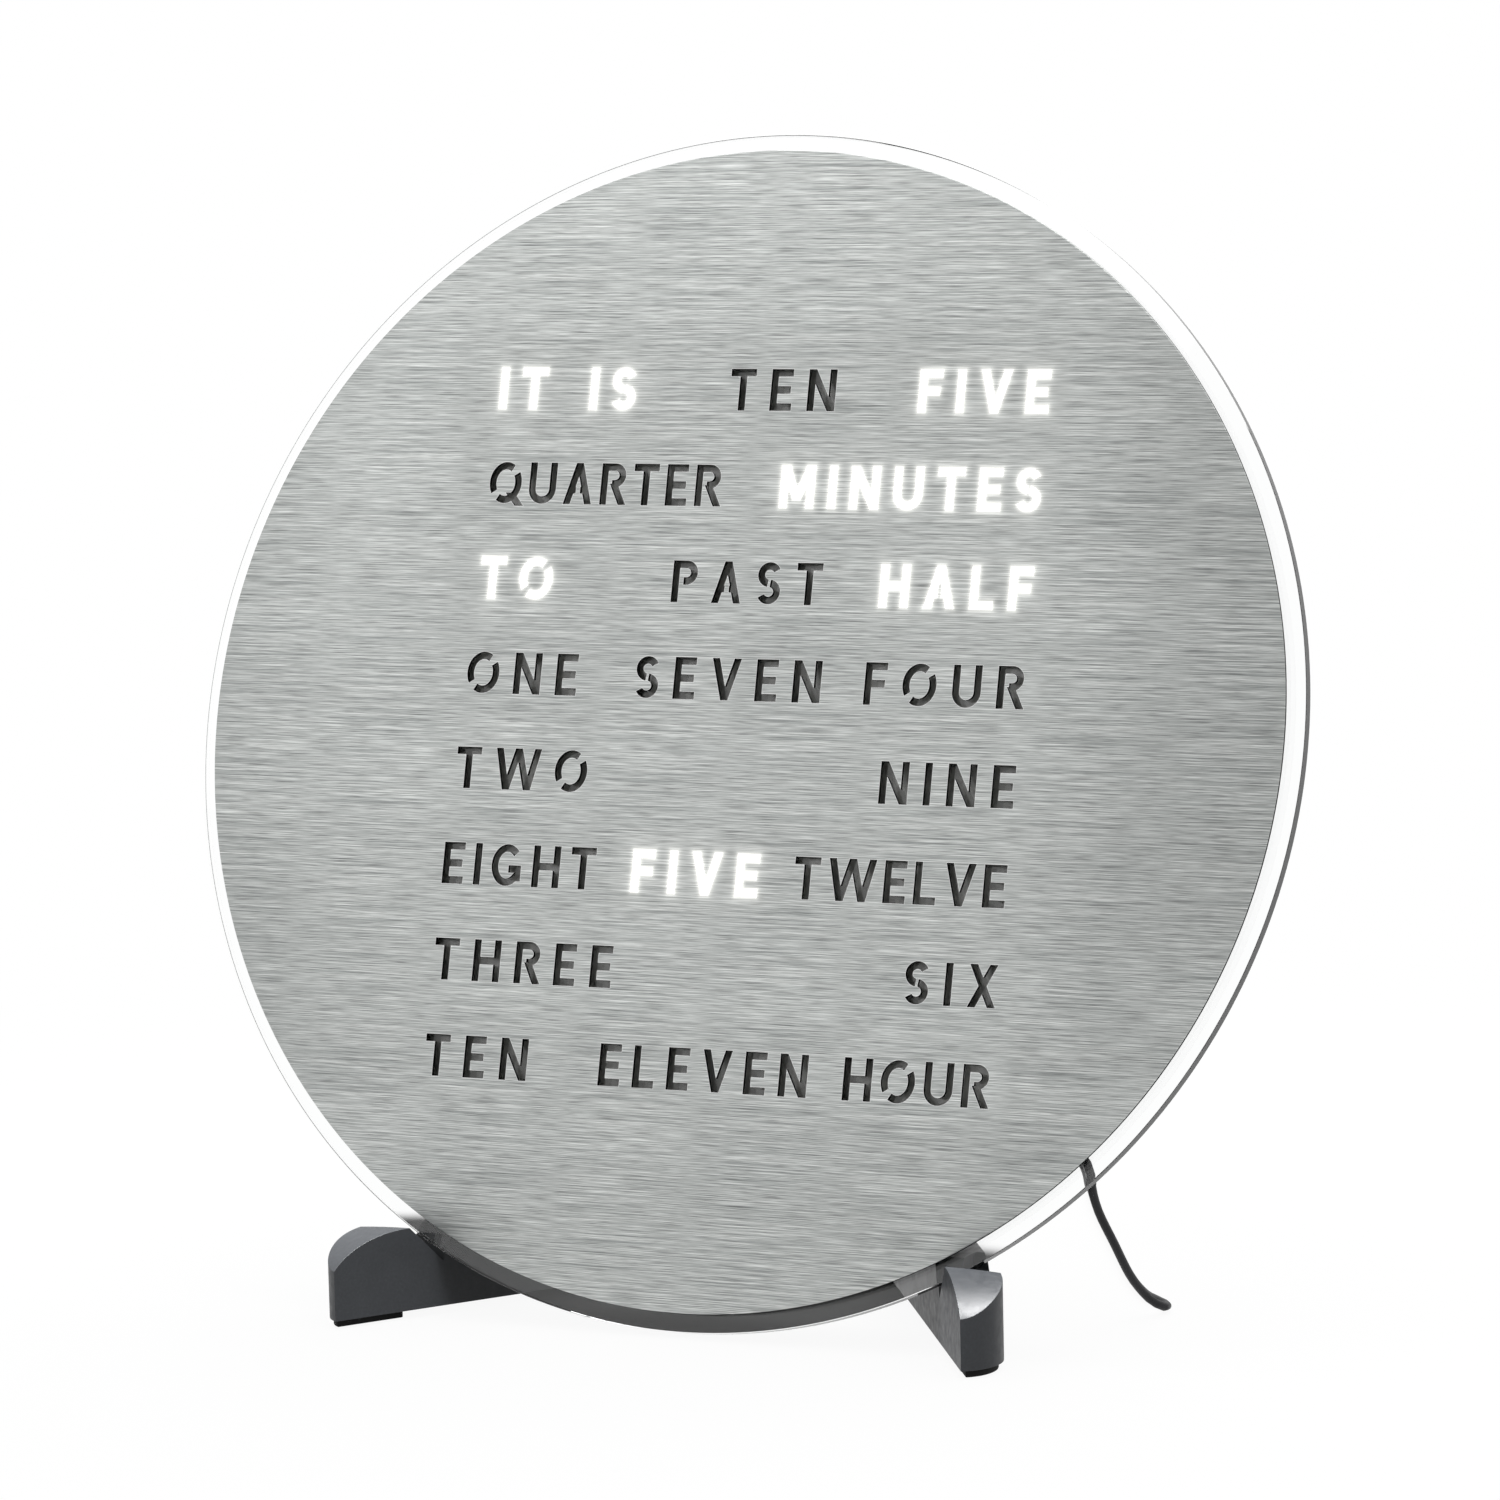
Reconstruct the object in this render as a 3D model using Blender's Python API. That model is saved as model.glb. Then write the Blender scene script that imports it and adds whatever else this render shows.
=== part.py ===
"""A round table clock that tells the time in words: a brushed steel dial on a clear disc, which stands
in the notches of a V-shaped stand. Metres, +Z up, the dial faces -Y and the table is at z = 0."""

import math

import bmesh
import bpy
from mathutils import Vector
from mathutils.geometry import delaunay_2d_cdt

# Clearances
GAP = 0.0003
LAYER_GAP = 0.00025
OVERRUN = 0.005
WELD = 1e-8

# The clock's head, front to back. Depths run backwards from the dial's face.
LEAN = math.radians(15.5)
CLEAR_DISC_RADIUS = 0.1506
CLEAR_DISC_THICKNESS = 0.003
CLEAR_DISC_CHAMFER = 0.0003
DISC_RIM = 0.0046
DIAL_THICKNESS = 0.001
MASK_INSET = 0.003
MASK_THICKNESS = 0.0005
MASK_MARGIN = 0.0012
INNER_CLEARANCE = 0.0055
DIFFUSER_THICKNESS = 0.0008
GRID_THICKNESS = 0.006
GRID_MARGIN = 0.003
LED_HEIGHT = 0.0008
LED_SIDE = 0.005
LED_SPACING = 0.022
STRIP_THICKNESS = 0.0005
STRIP_WIDTH = 0.008
STRIP_END = 0.004
CARRIER_THICKNESS = 0.0012
DISC_TABLE_GAP = 0.0004

# Lettering: the first and last rows keep the margin from the dial's edge, and the capitals, their
# strokes and the widest space between two letters follow the rows
LETTERING_MARGIN = 0.0606
LETTERING_DROP = 0.0005
CAP_HEIGHT_SHARE = 0.434
STROKE_SHARE = 0.18
TRACKING_SHARE = 0.4
ARC_CHORD_DEGREES = 38

# Rear housing
HOUSING_INSET = 0.0206
HOUSING_WALL = 0.0025
HOUSING_DEPTH = 0.0232
BACK_WALL = 0.003
LEDGE_THICKNESS = 0.0012
COVER_WIDTH = 0.116
COVER_HEIGHT = 0.066
COVER_CORNER = 0.010
COVER_LEDGE = 0.008
COVER_CENTRE_HEIGHT = -0.020
POST_INSET = 0.0059
POST_ANGLE = math.radians(39.2)
POST_RADIUS = 0.003
POST_BORE_DEPTH = 0.006
SCREW_RADIUS = 0.0015
SCREW_HEAD_RADIUS = 0.00275
SCREW_HEAD_HEIGHT = 0.0016
SCREW_REACH = 0.005
SMALL_SCREW_RADIUS = 0.0011
SMALL_SCREW_HEAD_RADIUS = 0.0021
SMALL_SCREW_REACH = 0.005
BOSS_RADIUS = 0.003
BOSS_HEIGHT = 0.005

# Control board, the parts on it and the buttons
BOARD_WIDTH = 0.088
BOARD_HEIGHT = 0.044
BOARD_THICKNESS = 0.0016
BOARD_STAND_OFF = 0.0026
BOARD_PIN_RADIUS = 0.0012
BOARD_PIN_INSET = 0.004
BUTTON_SPACING = 0.024
BUTTON_LINE = 0.010
BUTTON_RADIUS = 0.004
BUTTON_FLANGE_RADIUS = 0.0052
BUTTON_FLANGE = 0.002
BUTTON_PROUD = 0.0015
BUTTON_TRAVEL = 0.001
SWITCH_SIDE = 0.006
SWITCH_BODY = 0.0022
SWITCH_PLUNGER = 0.0005
SWITCH_PLUNGER_RADIUS = 0.0017
CHIP_SIDE = 0.010
CHIP_HEIGHT = 0.0012
CHIP_X = 0.024
CHIP_LINE = 0.010
CRYSTAL_LENGTH = 0.010
CRYSTAL_WIDTH = 0.004
CRYSTAL_HEIGHT = 0.003
CRYSTAL_X = 0.008
CELL_RADIUS = 0.010
CELL_HEIGHT = 0.0032
CELL_WALL = 0.0012
CELL_FLOOR = 0.0008
CELL_X = -0.022
CELL_LINE = 0.008
TERMINAL_WIDTH = 0.009
TERMINAL_DEPTH = 0.007
TERMINAL_HEIGHT = 0.004
TERMINAL_X = 0.038
TERMINAL_LINE = -0.004

# Strain relief of the cord, in the housing's side wall
RELIEF_ANGLE = math.radians(-46)
RELIEF_DEPTH = 0.0195
RELIEF_NECK_RADIUS = 0.0026
RELIEF_FLANGE_RADIUS = 0.004
RELIEF_FLANGE = 0.0018
RELIEF_LENGTH = 0.0060
RELIEF_BASE_RADIUS = 0.003
RELIEF_TIP_RADIUS = 0.0019
LEAD_BEND = 0.007

# Stand: two arms in a V, notched for the disc
STAND_DEPTH = 0.136
FOOT_REACH = 0.0581
MITRE_LENGTH = 0.0022
ARM_CORNER_X = 0.0846
ARM_WIDTH = 0.0124
NOSE_PLAN_LENGTH = 0.013
NOSE_LENGTH = 0.0215
NOSE_HALF_LENGTH = 0.024
NOSE_HALF_HEIGHT = 0.01493
NOSE_TOP = 0.021
REAR_TOP = 0.0212
REAR_BLOCK_LENGTH = 0.0285
ARM_SLOPE_LENGTH = 0.033
ARM_SLOPE_HEIGHT = 0.013
ARM_END_HEIGHT = 0.011
FLANK_SLOPE = math.radians(50)
NOTCH_DEPTH = 0.0106
REST_REACH = 0.0738
NOSE_STEPS = 8
PAD_THICKNESS = 0.0018
PAD_RECESS = 0.0008
PAD_REACH = 0.020
PAD_INSET = 0.0013
REAR_PAD_RADIUS = 0.0045
REAR_PAD_INSET = 0.0233
BRIDGE_LENGTH = 0.030
BRIDGE_SEAT = 0.008
BRIDGE_THICKNESS = 0.003
BRIDGE_MARGIN = 0.0015
BRIDGE_SCREW_INSET = 0.0123
BRIDGE_SCREW_SPACING = 0.020

# Cord: its route from the strain relief to the coil is a list chosen by hand
CORD_DIAMETER = 0.0022
CORD_STEP = 0.0064
CORD_ROUTE = [
    (0.0979, -0.0184, 0.0439),
    (0.0988, -0.0182, 0.0411),
    (0.0980, -0.0168, 0.0378),
    (0.0977, -0.0119, 0.0307),
    (0.0988, -0.0049, 0.0216),
    (0.0995, 0.0031, 0.0124),
    (0.1004, 0.0098, 0.0065),
    (0.1018, 0.0136, 0.0033),
    (0.1034, 0.0172, 0.0015),
    (0.1022, 0.0208, 0.0013),
    (0.0980, 0.0252, 0.0013),
    (0.0921, 0.0319, 0.0013),
    (0.0806, 0.0510, 0.0013),
    (0.0621, 0.0864, 0.0013),
    (0.0426, 0.1241, 0.0013),
    (0.0272, 0.1563, 0.0013),
    (0.0186, 0.1750, 0.0016),
    (0.0121, 0.1860, 0.0021),
]
COIL_CENTRE_X = -0.008
COIL_CENTRE_Y = 0.180
COIL_INNER_RADIUS = 0.0085
COIL_RADIAL_PITCH = 0.0031
COIL_LAYER_HEIGHT = 0.0030
COIL_LAYERS = 4
COIL_TURNS = 11 + 1 / 3
COIL_START = math.radians(60)
COIL_POINTS_A_TURN = 18
COIL_LEAST_GAP = 0.0004
TIE_THICKNESS = 0.0007
TIE_WIDTH = 0.003
TIE_SPACE = 0.0006
TIE_ANGLE = math.radians(-60)

# Plug-in adapter on the cord's far end
ADAPTER_LENGTH = 0.050
ADAPTER_WIDTH = 0.034
ADAPTER_CORNER = 0.004
ADAPTER_BUSH_LENGTH = 0.011
ADAPTER_BUSH_RADIUS = 0.0028
PIN_RADIUS = 0.002
PIN_LENGTH = 0.019
PIN_SPACING = 0.0186
PIN_SEAT = 0.003

# Sizes worked out from those above
DIAL_RADIUS = CLEAR_DISC_RADIUS - DISC_RIM
MASK_RADIUS = DIAL_RADIUS - MASK_INSET
LETTERING_REACH = DIAL_RADIUS - LETTERING_MARGIN
HOUSING_RADIUS = CLEAR_DISC_RADIUS - HOUSING_INSET
INNER_RADIUS = HOUSING_RADIUS - HOUSING_WALL - INNER_CLEARANCE
POST_CIRCLE = INNER_RADIUS - POST_INSET
DIAL_BACK = DIAL_THICKNESS
MASK_FRONT = DIAL_BACK + LAYER_GAP
MASK_BACK = MASK_FRONT + MASK_THICKNESS
CLEAR_FRONT = MASK_BACK + LAYER_GAP
CLEAR_BACK = CLEAR_FRONT + CLEAR_DISC_THICKNESS
DIFFUSER_FRONT = CLEAR_BACK + GAP
DIFFUSER_BACK = DIFFUSER_FRONT + DIFFUSER_THICKNESS
GRID_FRONT = DIFFUSER_BACK + GAP
GRID_BACK = GRID_FRONT + GRID_THICKNESS
LED_FRONT = GRID_BACK + GAP
STRIP_FRONT = LED_FRONT + LED_HEIGHT
STRIP_BACK = STRIP_FRONT + STRIP_THICKNESS
CARRIER_FRONT = STRIP_BACK + GAP
CARRIER_BACK = CARRIER_FRONT + CARRIER_THICKNESS
BOARD_FRONT = CARRIER_BACK + BOARD_STAND_OFF + GAP
BOARD_BACK = BOARD_FRONT + BOARD_THICKNESS
PARTS_FRONT = BOARD_BACK + GAP
HOUSING_FRONT = CLEAR_BACK + GAP
HOUSING_BACK = HOUSING_FRONT + HOUSING_DEPTH
WALL_FRONT = HOUSING_BACK - BACK_WALL
LEDGE_BACK = WALL_FRONT + LEDGE_THICKNESS
COVER_FRONT = LEDGE_BACK + GAP
HEAD_Y = FOOT_REACH - STAND_DEPTH / 2
HEAD_Z = (
    CLEAR_DISC_RADIUS * math.cos(LEAN) + CLEAR_BACK * math.sin(LEAN) + DISC_TABLE_GAP
)
STAND_FRONT = -STAND_DEPTH / 2
STAND_BACK = STAND_DEPTH / 2
ARM_ANGLE = math.atan2(ARM_CORNER_X, STAND_DEPTH - MITRE_LENGTH)
ARM_LENGTH = math.hypot(ARM_CORNER_X, STAND_DEPTH - MITRE_LENGTH)
CORD_RADIUS = CORD_DIAMETER / 2
COIL_BOTTOM = TIE_THICKNESS + 2 * GAP
COIL_PITCH_TURNS = (COIL_TURNS - (COIL_LAYERS - 1) / 2) / COIL_LAYERS
COIL_OUTER_RADIUS = COIL_INNER_RADIUS + COIL_RADIAL_PITCH * COIL_PITCH_TURNS

# The words, row by row, each with the left and right ends of its place as shares of the dial's radius
WORD_ROW_SHARES = [
    [("IT IS", -0.498, -0.166), ("TEN", -0.100, 0.186), ("FIVE", 0.254, 0.534)],
    [("QUARTER", -0.502, -0.058), ("MINUTES", 0.056, 0.534)],
    [("TO", -0.502, -0.269), ("PAST", -0.142, 0.159), ("HALF", 0.247, 0.534)],
    [("ONE", -0.510, -0.268), ("SEVEN", -0.191, 0.171), ("FOUR", 0.233, 0.534)],
    [("TWO", -0.514, -0.260), ("NINE", 0.260, 0.534)],
    [("EIGHT", -0.521, -0.227), ("FIVE", -0.179, 0.103), ("TWELVE", 0.147, 0.534)],
    [("THREE", -0.521, -0.178), ("SIX", 0.340, 0.534)],
    [("TEN", -0.521, -0.233), ("ELEVEN", -0.185, 0.205), ("HOUR", 0.271, 0.534)],
]

ROW_PITCH = 2 * LETTERING_REACH / (len(WORD_ROW_SHARES) - 1)
CAP_HEIGHT = CAP_HEIGHT_SHARE * ROW_PITCH
MOST_TRACKING = TRACKING_SHARE * CAP_HEIGHT

COLOURS = {
    "steel": ((0.50, 0.53, 0.52), 0.35, 1.0),
    "clear": ((0.92, 0.95, 0.95), 0.05, 0.0),
    "black": ((0.012, 0.012, 0.013), 0.45, 0.0),
    "anthracite": ((0.030, 0.032, 0.035), 0.42, 0.0),
    "opal": ((0.85, 0.85, 0.80), 0.5, 0.0),
    "white": ((0.80, 0.80, 0.78), 0.5, 0.0),
    "board": ((0.02, 0.16, 0.07), 0.5, 0.0),
    "rubber": ((0.015, 0.015, 0.015), 0.85, 0.0),
    "zinc": ((0.60, 0.60, 0.60), 0.3, 1.0),
    "brass": ((0.72, 0.52, 0.22), 0.3, 1.0),
    "grey": ((0.30, 0.31, 0.32), 0.5, 0.0),
}


def clear_scene():
    for obj in list(bpy.data.objects):
        bpy.data.objects.remove(obj)


def material(name):
    """The part's material of this name, made once."""
    if name in bpy.data.materials:
        return bpy.data.materials[name]
    colour, roughness, metallic = COLOURS[name]
    made = bpy.data.materials.new(name)
    made.use_nodes = True
    shader = made.node_tree.nodes["Principled BSDF"]
    shader.inputs["Base Color"].default_value = (*colour, 1.0)
    shader.inputs["Roughness"].default_value = roughness
    shader.inputs["Metallic"].default_value = metallic
    return made


def add_mesh(name, bm, colour, parent=None, smooth=True):
    """Turns the bmesh into a named object with its own material."""
    bmesh.ops.recalc_face_normals(bm, faces=bm.faces)
    mesh = bpy.data.meshes.new(name)
    bm.to_mesh(mesh)
    bm.free()
    if smooth:
        mesh.shade_smooth()
        mesh.set_sharp_from_angle(angle=math.radians(35))
    obj = bpy.data.objects.new(name, mesh)
    obj.data.materials.append(material(colour))
    obj.parent = parent
    bpy.context.collection.objects.link(obj)
    return obj


def circle(x, z, radius, steps=48):
    turn = 2 * math.pi / steps
    return [
        (x + radius * math.cos(i * turn), z + radius * math.sin(i * turn))
        for i in range(steps)
    ]


def rectangle(x, z, width, height):
    half_width, half_height = width / 2, height / 2
    return [
        (x - half_width, z - half_height),
        (x + half_width, z - half_height),
        (x + half_width, z + half_height),
        (x - half_width, z + half_height),
    ]


def rounded_rectangle(x, z, width, height, corner, steps=3):
    points = []
    for quarter, (side, rise) in enumerate(((1, 1), (-1, 1), (-1, -1), (1, -1))):
        centre_x = x + side * (width / 2 - corner)
        centre_z = z + rise * (height / 2 - corner)
        for i in range(steps + 1):
            angle = (quarter + i / steps) * math.pi / 2
            points.append(
                (centre_x + corner * math.cos(angle), centre_z + corner * math.sin(angle))
            )
    return points


def turns_left(outline):
    """Whether the outline runs counterclockwise."""
    pairs = zip(outline, outline[1:] + outline[:1])
    return sum(a[0] * b[1] - a[1] * b[0] for a, b in pairs) > 0


def terrace(name, regions, colour, parent):
    """A solid built from flat outlines. Each region is (outline, front, back), and a later region
    replaces what it lies on. A region with no front is a hole."""
    points, outlines = [], []
    for outline, _, _ in regions:
        order = list(range(len(points), len(points) + len(outline)))
        outlines.append(order if turns_left(outline) else order[::-1])
        points.extend(Vector(point) for point in outline)
    places, _, triangles, _, _, owners = delaunay_2d_cdt(points, [], outlines, 1, WELD)
    levels = {}
    for triangle, owner in zip(triangles, owners):
        _, front, back = regions[max(owner)]
        if front is not None:
            levels[tuple(triangle)] = (front, back)
    neighbour = {}
    for triangle in levels:
        for i in range(3):
            neighbour[(triangle[i], triangle[(i + 1) % 3])] = levels[triangle]
    bm = bmesh.new()
    made = {}

    def vertex(index, depth):
        key = (index, depth)
        if key not in made:
            made[key] = bm.verts.new((places[index][0], depth, places[index][1]))
        return made[key]

    def wall(first, second, low, high):
        bm.faces.new(
            (
                vertex(first, low),
                vertex(second, low),
                vertex(second, high),
                vertex(first, high),
            )
        )

    for triangle, (front, back) in levels.items():
        bm.faces.new([vertex(i, front) for i in triangle])
        bm.faces.new([vertex(i, back) for i in reversed(triangle)])
        for i in range(3):
            first, second = triangle[i], triangle[(i + 1) % 3]
            beside = neighbour.get((second, first))
            if beside is None:
                wall(first, second, front, back)
                continue
            if front < beside[0]:
                wall(first, second, front, beside[0])
            if back > beside[1]:
                wall(first, second, beside[1], back)
    return add_mesh(name, bm, colour, parent)


def turned(name, profile, colour, parent=None, steps=24):
    """A turned piece. The profile is (radius, depth) points, from the axis at the front to the back."""
    bm = bmesh.new()
    rings = []
    for radius, depth in profile:
        if radius == 0:
            rings.append([bm.verts.new((0, depth, 0))])
            continue
        rings.append([bm.verts.new((x, depth, z)) for x, z in circle(0, 0, radius, steps)])
    for before, after in zip(rings, rings[1:]):
        for i in range(steps):
            j = (i + 1) % steps
            corners = [before[i % len(before)], before[j % len(before)]]
            corners += [after[j % len(after)], after[i % len(after)]]
            bm.faces.new(list(dict.fromkeys(corners)))
    return add_mesh(name, bm, colour, parent)


def prism(name, outline, low, high, colour="grey"):
    """An upright prism over a plan outline of (x, y) points."""
    bm = bmesh.new()
    bottom = [bm.verts.new((x, y, low)) for x, y in outline]
    top = [bm.verts.new((x, y, high)) for x, y in outline]
    bm.faces.new(bottom)
    bm.faces.new(top)
    for i in range(len(outline)):
        j = (i + 1) % len(outline)
        bm.faces.new((bottom[i], bottom[j], top[j], top[i]))
    return add_mesh(name, bm, colour, smooth=False)


def side_prism(name, outline, origin, along, across, start, width):
    """A prism over an outline of (distance along, height) points, carried across by its width."""
    bm = bmesh.new()
    rows = []
    for offset in (start, start + width):
        rows.append(
            [
                bm.verts.new(
                    (
                        origin[0] + along[0] * s + across[0] * offset,
                        origin[1] + along[1] * s + across[1] * offset,
                        origin[2] + height,
                    )
                )
                for s, height in outline
            ]
        )
    bm.faces.new(rows[0])
    bm.faces.new(rows[1])
    for i in range(len(outline)):
        j = (i + 1) % len(outline)
        bm.faces.new((rows[0][i], rows[0][j], rows[1][j], rows[1][i]))
    return add_mesh(name, bm, "anthracite", smooth=False)


def as_cutter(obj):
    obj.hide_render = True
    obj.display_type = "WIRE"
    return obj


def boolean(obj, other, operation="DIFFERENCE"):
    modifier = obj.modifiers.new(other.name, "BOOLEAN")
    modifier.operation = operation
    modifier.solver = "EXACT"
    modifier.object = other


def bar(left, bottom, right, top):
    return [(left, bottom), (right, bottom), (right, top), (left, top)]


def slant(foot, head, reach, bottom=0.0, top=1.0):
    """A leaning stroke with level ends, as wide as the stroke measured square to it."""
    length = math.hypot(head - foot, top - bottom)
    half = reach * length / (top - bottom) / 2
    return [(foot - half, bottom), (foot + half, bottom), (head + half, top), (head - half, top)]


def arc(x, z, outer_x, outer_z, stroke, start, end):
    """A stroke along an ellipse, between two angles in degrees."""
    steps = round(abs(end - start) / ARC_CHORD_DEGREES)
    outer, inner = [], []
    for i in range(steps + 1):
        angle = math.radians(start + (end - start) * i / steps)
        outer.append((x + outer_x * math.cos(angle), z + outer_z * math.sin(angle)))
        inner.append(
            (
                x + (outer_x - stroke) * math.cos(angle),
                z + (outer_z - stroke) * math.sin(angle),
            )
        )
    return outer + inner[::-1]


def glyph(letter):
    """The width of a stencil capital and its strokes, in shares of the cap height."""
    s = STROKE_SHARE
    gap = 0.11
    wide_share, round_share, narrow_share = 0.72, 0.86, 0.56
    if letter == " ":
        return narrow_share - s, []
    if letter == "I":
        return s, [bar(0, 0, s, 1)]
    if letter == "T":
        w = 0.66
        return w, [bar(0, 1 - s, w, 1), bar((w - s) / 2, 0, (w + s) / 2, 1 - s / 2)]
    if letter in "EFL":
        w = narrow_share
        strokes = [bar(0, 0, s, 1)]
        if letter in "EL":
            strokes.append(bar(s / 2, 0, w, s))
        if letter in "EF":
            strokes.append(bar(s / 2, 1 - s, w, 1))
            strokes.append(bar(s / 2, (1 - s) / 2, w - s / 4, (1 + s) / 2))
        return w, strokes
    if letter == "H":
        w = wide_share
        return w, [bar(0, 0, s, 1), bar(w - s, 0, w, 1), bar(s / 2, (1 - s) / 2, w - s / 2, (1 + s) / 2)]
    if letter == "N":
        w = wide_share
        lean = slant(w - s / 2, s / 2, s)
        return w, [bar(0, 0, s, 1), bar(w - s, 0, w, 1), lean]
    if letter == "M":
        w = round_share
        low = 0.2
        left = slant(w / 2, s * 0.62, s, low)
        right = slant(w / 2, w - s * 0.62, s, low)
        return w, [bar(0, 0, s, 1), bar(w - s, 0, w, 1), left, right]
    if letter == "V":
        w = wide_share + s / 4
        return w, [slant(w / 2, s * 0.54, s), slant(w / 2, w - s * 0.54, s)]
    if letter == "W":
        w = round_share + 2 * s
        foot = w * 0.27
        return w, [
            slant(foot, s * 0.54, s),
            slant(foot, w / 2, s),
            slant(w - foot, w / 2, s),
            slant(w - foot, w - s * 0.54, s),
        ]
    if letter == "X":
        w = wide_share
        return w, [slant(s * 0.6, w - s * 0.6, s), slant(w - s * 0.6, s * 0.6, s)]
    if letter == "A":
        w = round_share - s / 2
        level, height = 0.26, s * 0.9
        middle = w / 2
        return w, [
            slant(s * 0.55, middle, s),
            slant(w - s * 0.55, middle, s),
            bar(w * 0.22, level, middle - gap / 2, level + height),
            bar(middle + gap / 2, level, w * 0.78, level + height),
        ]
    if letter in "OQ":
        w = round_share
        strokes = [
            arc(w / 2, 0.5, w / 2, 0.5, s, 58, 212),
            arc(w / 2, 0.5, w / 2, 0.5, s, 238, 392),
        ]
        if letter == "Q":
            strokes.append(slant(w * 0.98, w * 0.66, s, -0.06, 0.26))
        return w, strokes
    if letter == "G":
        w = round_share - s / 4
        return w, [
            arc(w / 2, 0.5, w / 2, 0.5, s, 42, 325),
            bar(w - s * 1.15, 0.12, w - s * 0.15, 0.5),
            bar(w * 0.56, 0.5 - s, w - s * 0.15, 0.5),
        ]
    if letter == "U":
        w = wide_share
        return w, [
            bar(0, w / 2 - s / 8, s, 1),
            bar(w - s, w / 2 - s / 8, w, 1),
            arc(w / 2, w / 2, w / 2, w / 2, s, 180, 360),
        ]
    if letter in "PR":
        w = narrow_share + s / 2
        radius = 0.29
        strokes = [
            bar(0, 0, s, 1),
            bar(s / 2, 1 - s, w - radius, 1),
            arc(w - radius, 1 - radius, radius, radius, s, -90, 90),
            bar(s + gap, 1 - 2 * radius, w - radius + s / 8, 1 - 2 * radius + s),
        ]
        if letter == "R":
            strokes.append(slant(w - s * 0.3, w * 0.52, s, 0.0, 1 - 2 * radius + s / 2))
        return w, strokes
    if letter == "S":
        w = 0.60
        radius = (1 + s) / 4
        side = w / 2
        return w, [
            arc(side, 1 - radius, side, radius, s, 28, 262),
            arc(side, radius, side, radius, s, 82, -152),
        ]
    raise ValueError(letter)


def word_outlines(text, left, right, middle):
    """The strokes of a word, spread evenly between its two ends."""
    letters = [glyph(letter) for letter in text]
    used = sum(width for width, _ in letters) * CAP_HEIGHT
    space = (right - left - used) / (len(text) - 1)
    outlines = []
    x = left
    for width, strokes in letters:
        for stroke in strokes:
            outlines.append(
                [
                    (x + across * CAP_HEIGHT, middle + (up - 0.5) * CAP_HEIGHT)
                    for across, up in stroke
                ]
            )
        x += width * CAP_HEIGHT + space
    return outlines


def row_middle(row):
    return LETTERING_REACH - row * ROW_PITCH - LETTERING_DROP


def row_words(row):
    """The row's words with their own ends. A short word keeps to the outer end of its place."""
    places = WORD_ROW_SHARES[row]
    words = []
    for text, left_share, right_share in places:
        left, right = left_share * DIAL_RADIUS, right_share * DIAL_RADIUS
        used = sum(glyph(letter)[0] for letter in text) * CAP_HEIGHT
        spare = right - left - used - (len(text) - 1) * MOST_TRACKING
        if spare > 0:
            lead_share = {0: 0, len(places) - 1: 1}.get(len(words), 0.5)
            left += spare * lead_share
            right -= spare * (1 - lead_share)
        words.append((text, left, right))
    return words


def every_word():
    return [(*word, row_middle(row)) for row in range(len(WORD_ROW_SHARES)) for word in row_words(row)]


def lettering():
    return [outline for word in every_word() for outline in word_outlines(*word)]


def word_windows(margin):
    """One rectangle for each word, larger than it by the margin."""
    return [
        rectangle(
            (left + right) / 2, middle, right - left + 2 * margin, CAP_HEIGHT + 2 * margin
        )
        for _, left, right, middle in every_word()
    ]


def post_places():
    across, up = POST_CIRCLE * math.cos(POST_ANGLE), POST_CIRCLE * math.sin(POST_ANGLE)
    return [(x, z) for z in (up, -up) for x in (-across, across)]


def holes(places, radius, steps=12):
    return [(circle(x, z, radius, steps), None, None) for x, z in places]


def build_dial(head):
    cuts = [(outline, None, None) for outline in lettering()]
    face = (circle(0, 0, DIAL_RADIUS, 96), 0.0, DIAL_BACK)
    terrace("dial_plate", [face] + cuts, "steel", head)
    windows = [(outline, None, None) for outline in word_windows(MASK_MARGIN)]
    sheet = (circle(0, 0, MASK_RADIUS, 64), MASK_FRONT, MASK_BACK)
    terrace("letter_mask", [sheet] + windows, "black", head)
    edge = CLEAR_DISC_RADIUS - CLEAR_DISC_CHAMFER
    turned(
        "clear_disc",
        [
            (0, CLEAR_FRONT),
            (edge, CLEAR_FRONT),
            (CLEAR_DISC_RADIUS, CLEAR_FRONT + CLEAR_DISC_CHAMFER),
            (CLEAR_DISC_RADIUS, CLEAR_BACK - CLEAR_DISC_CHAMFER),
            (edge, CLEAR_BACK),
            (0, CLEAR_BACK),
        ],
        "clear",
        head,
        steps=72,
    )


def build_lights(head):
    through = holes(post_places(), POST_RADIUS + GAP)
    sheet = (circle(0, 0, INNER_RADIUS), DIFFUSER_FRONT, DIFFUSER_BACK)
    terrace("diffuser_sheet", [sheet] + through, "opal", head)
    windows = [(outline, None, None) for outline in word_windows(GRID_MARGIN)]
    body = (circle(0, 0, INNER_RADIUS), GRID_FRONT, GRID_BACK)
    terrace("light_grid", [body] + windows + through, "black", head)
    for row in range(len(WORD_ROW_SHARES)):
        strip(f"led_strip_{row + 1}", row, head)
    plate = (circle(0, 0, INNER_RADIUS), CARRIER_FRONT, CARRIER_BACK)
    bosses = []
    for x, z in board_pins():
        bosses.append(
            (circle(x, z, BOSS_RADIUS, 12), CARRIER_FRONT, BOARD_FRONT - GAP)
        )
        bosses.append(
            (circle(x, z, BOARD_PIN_RADIUS, 8), CARRIER_FRONT, BOARD_BACK + 2 * GAP)
        )
    terrace("led_carrier", [plate] + bosses + through, "white", head)


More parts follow.
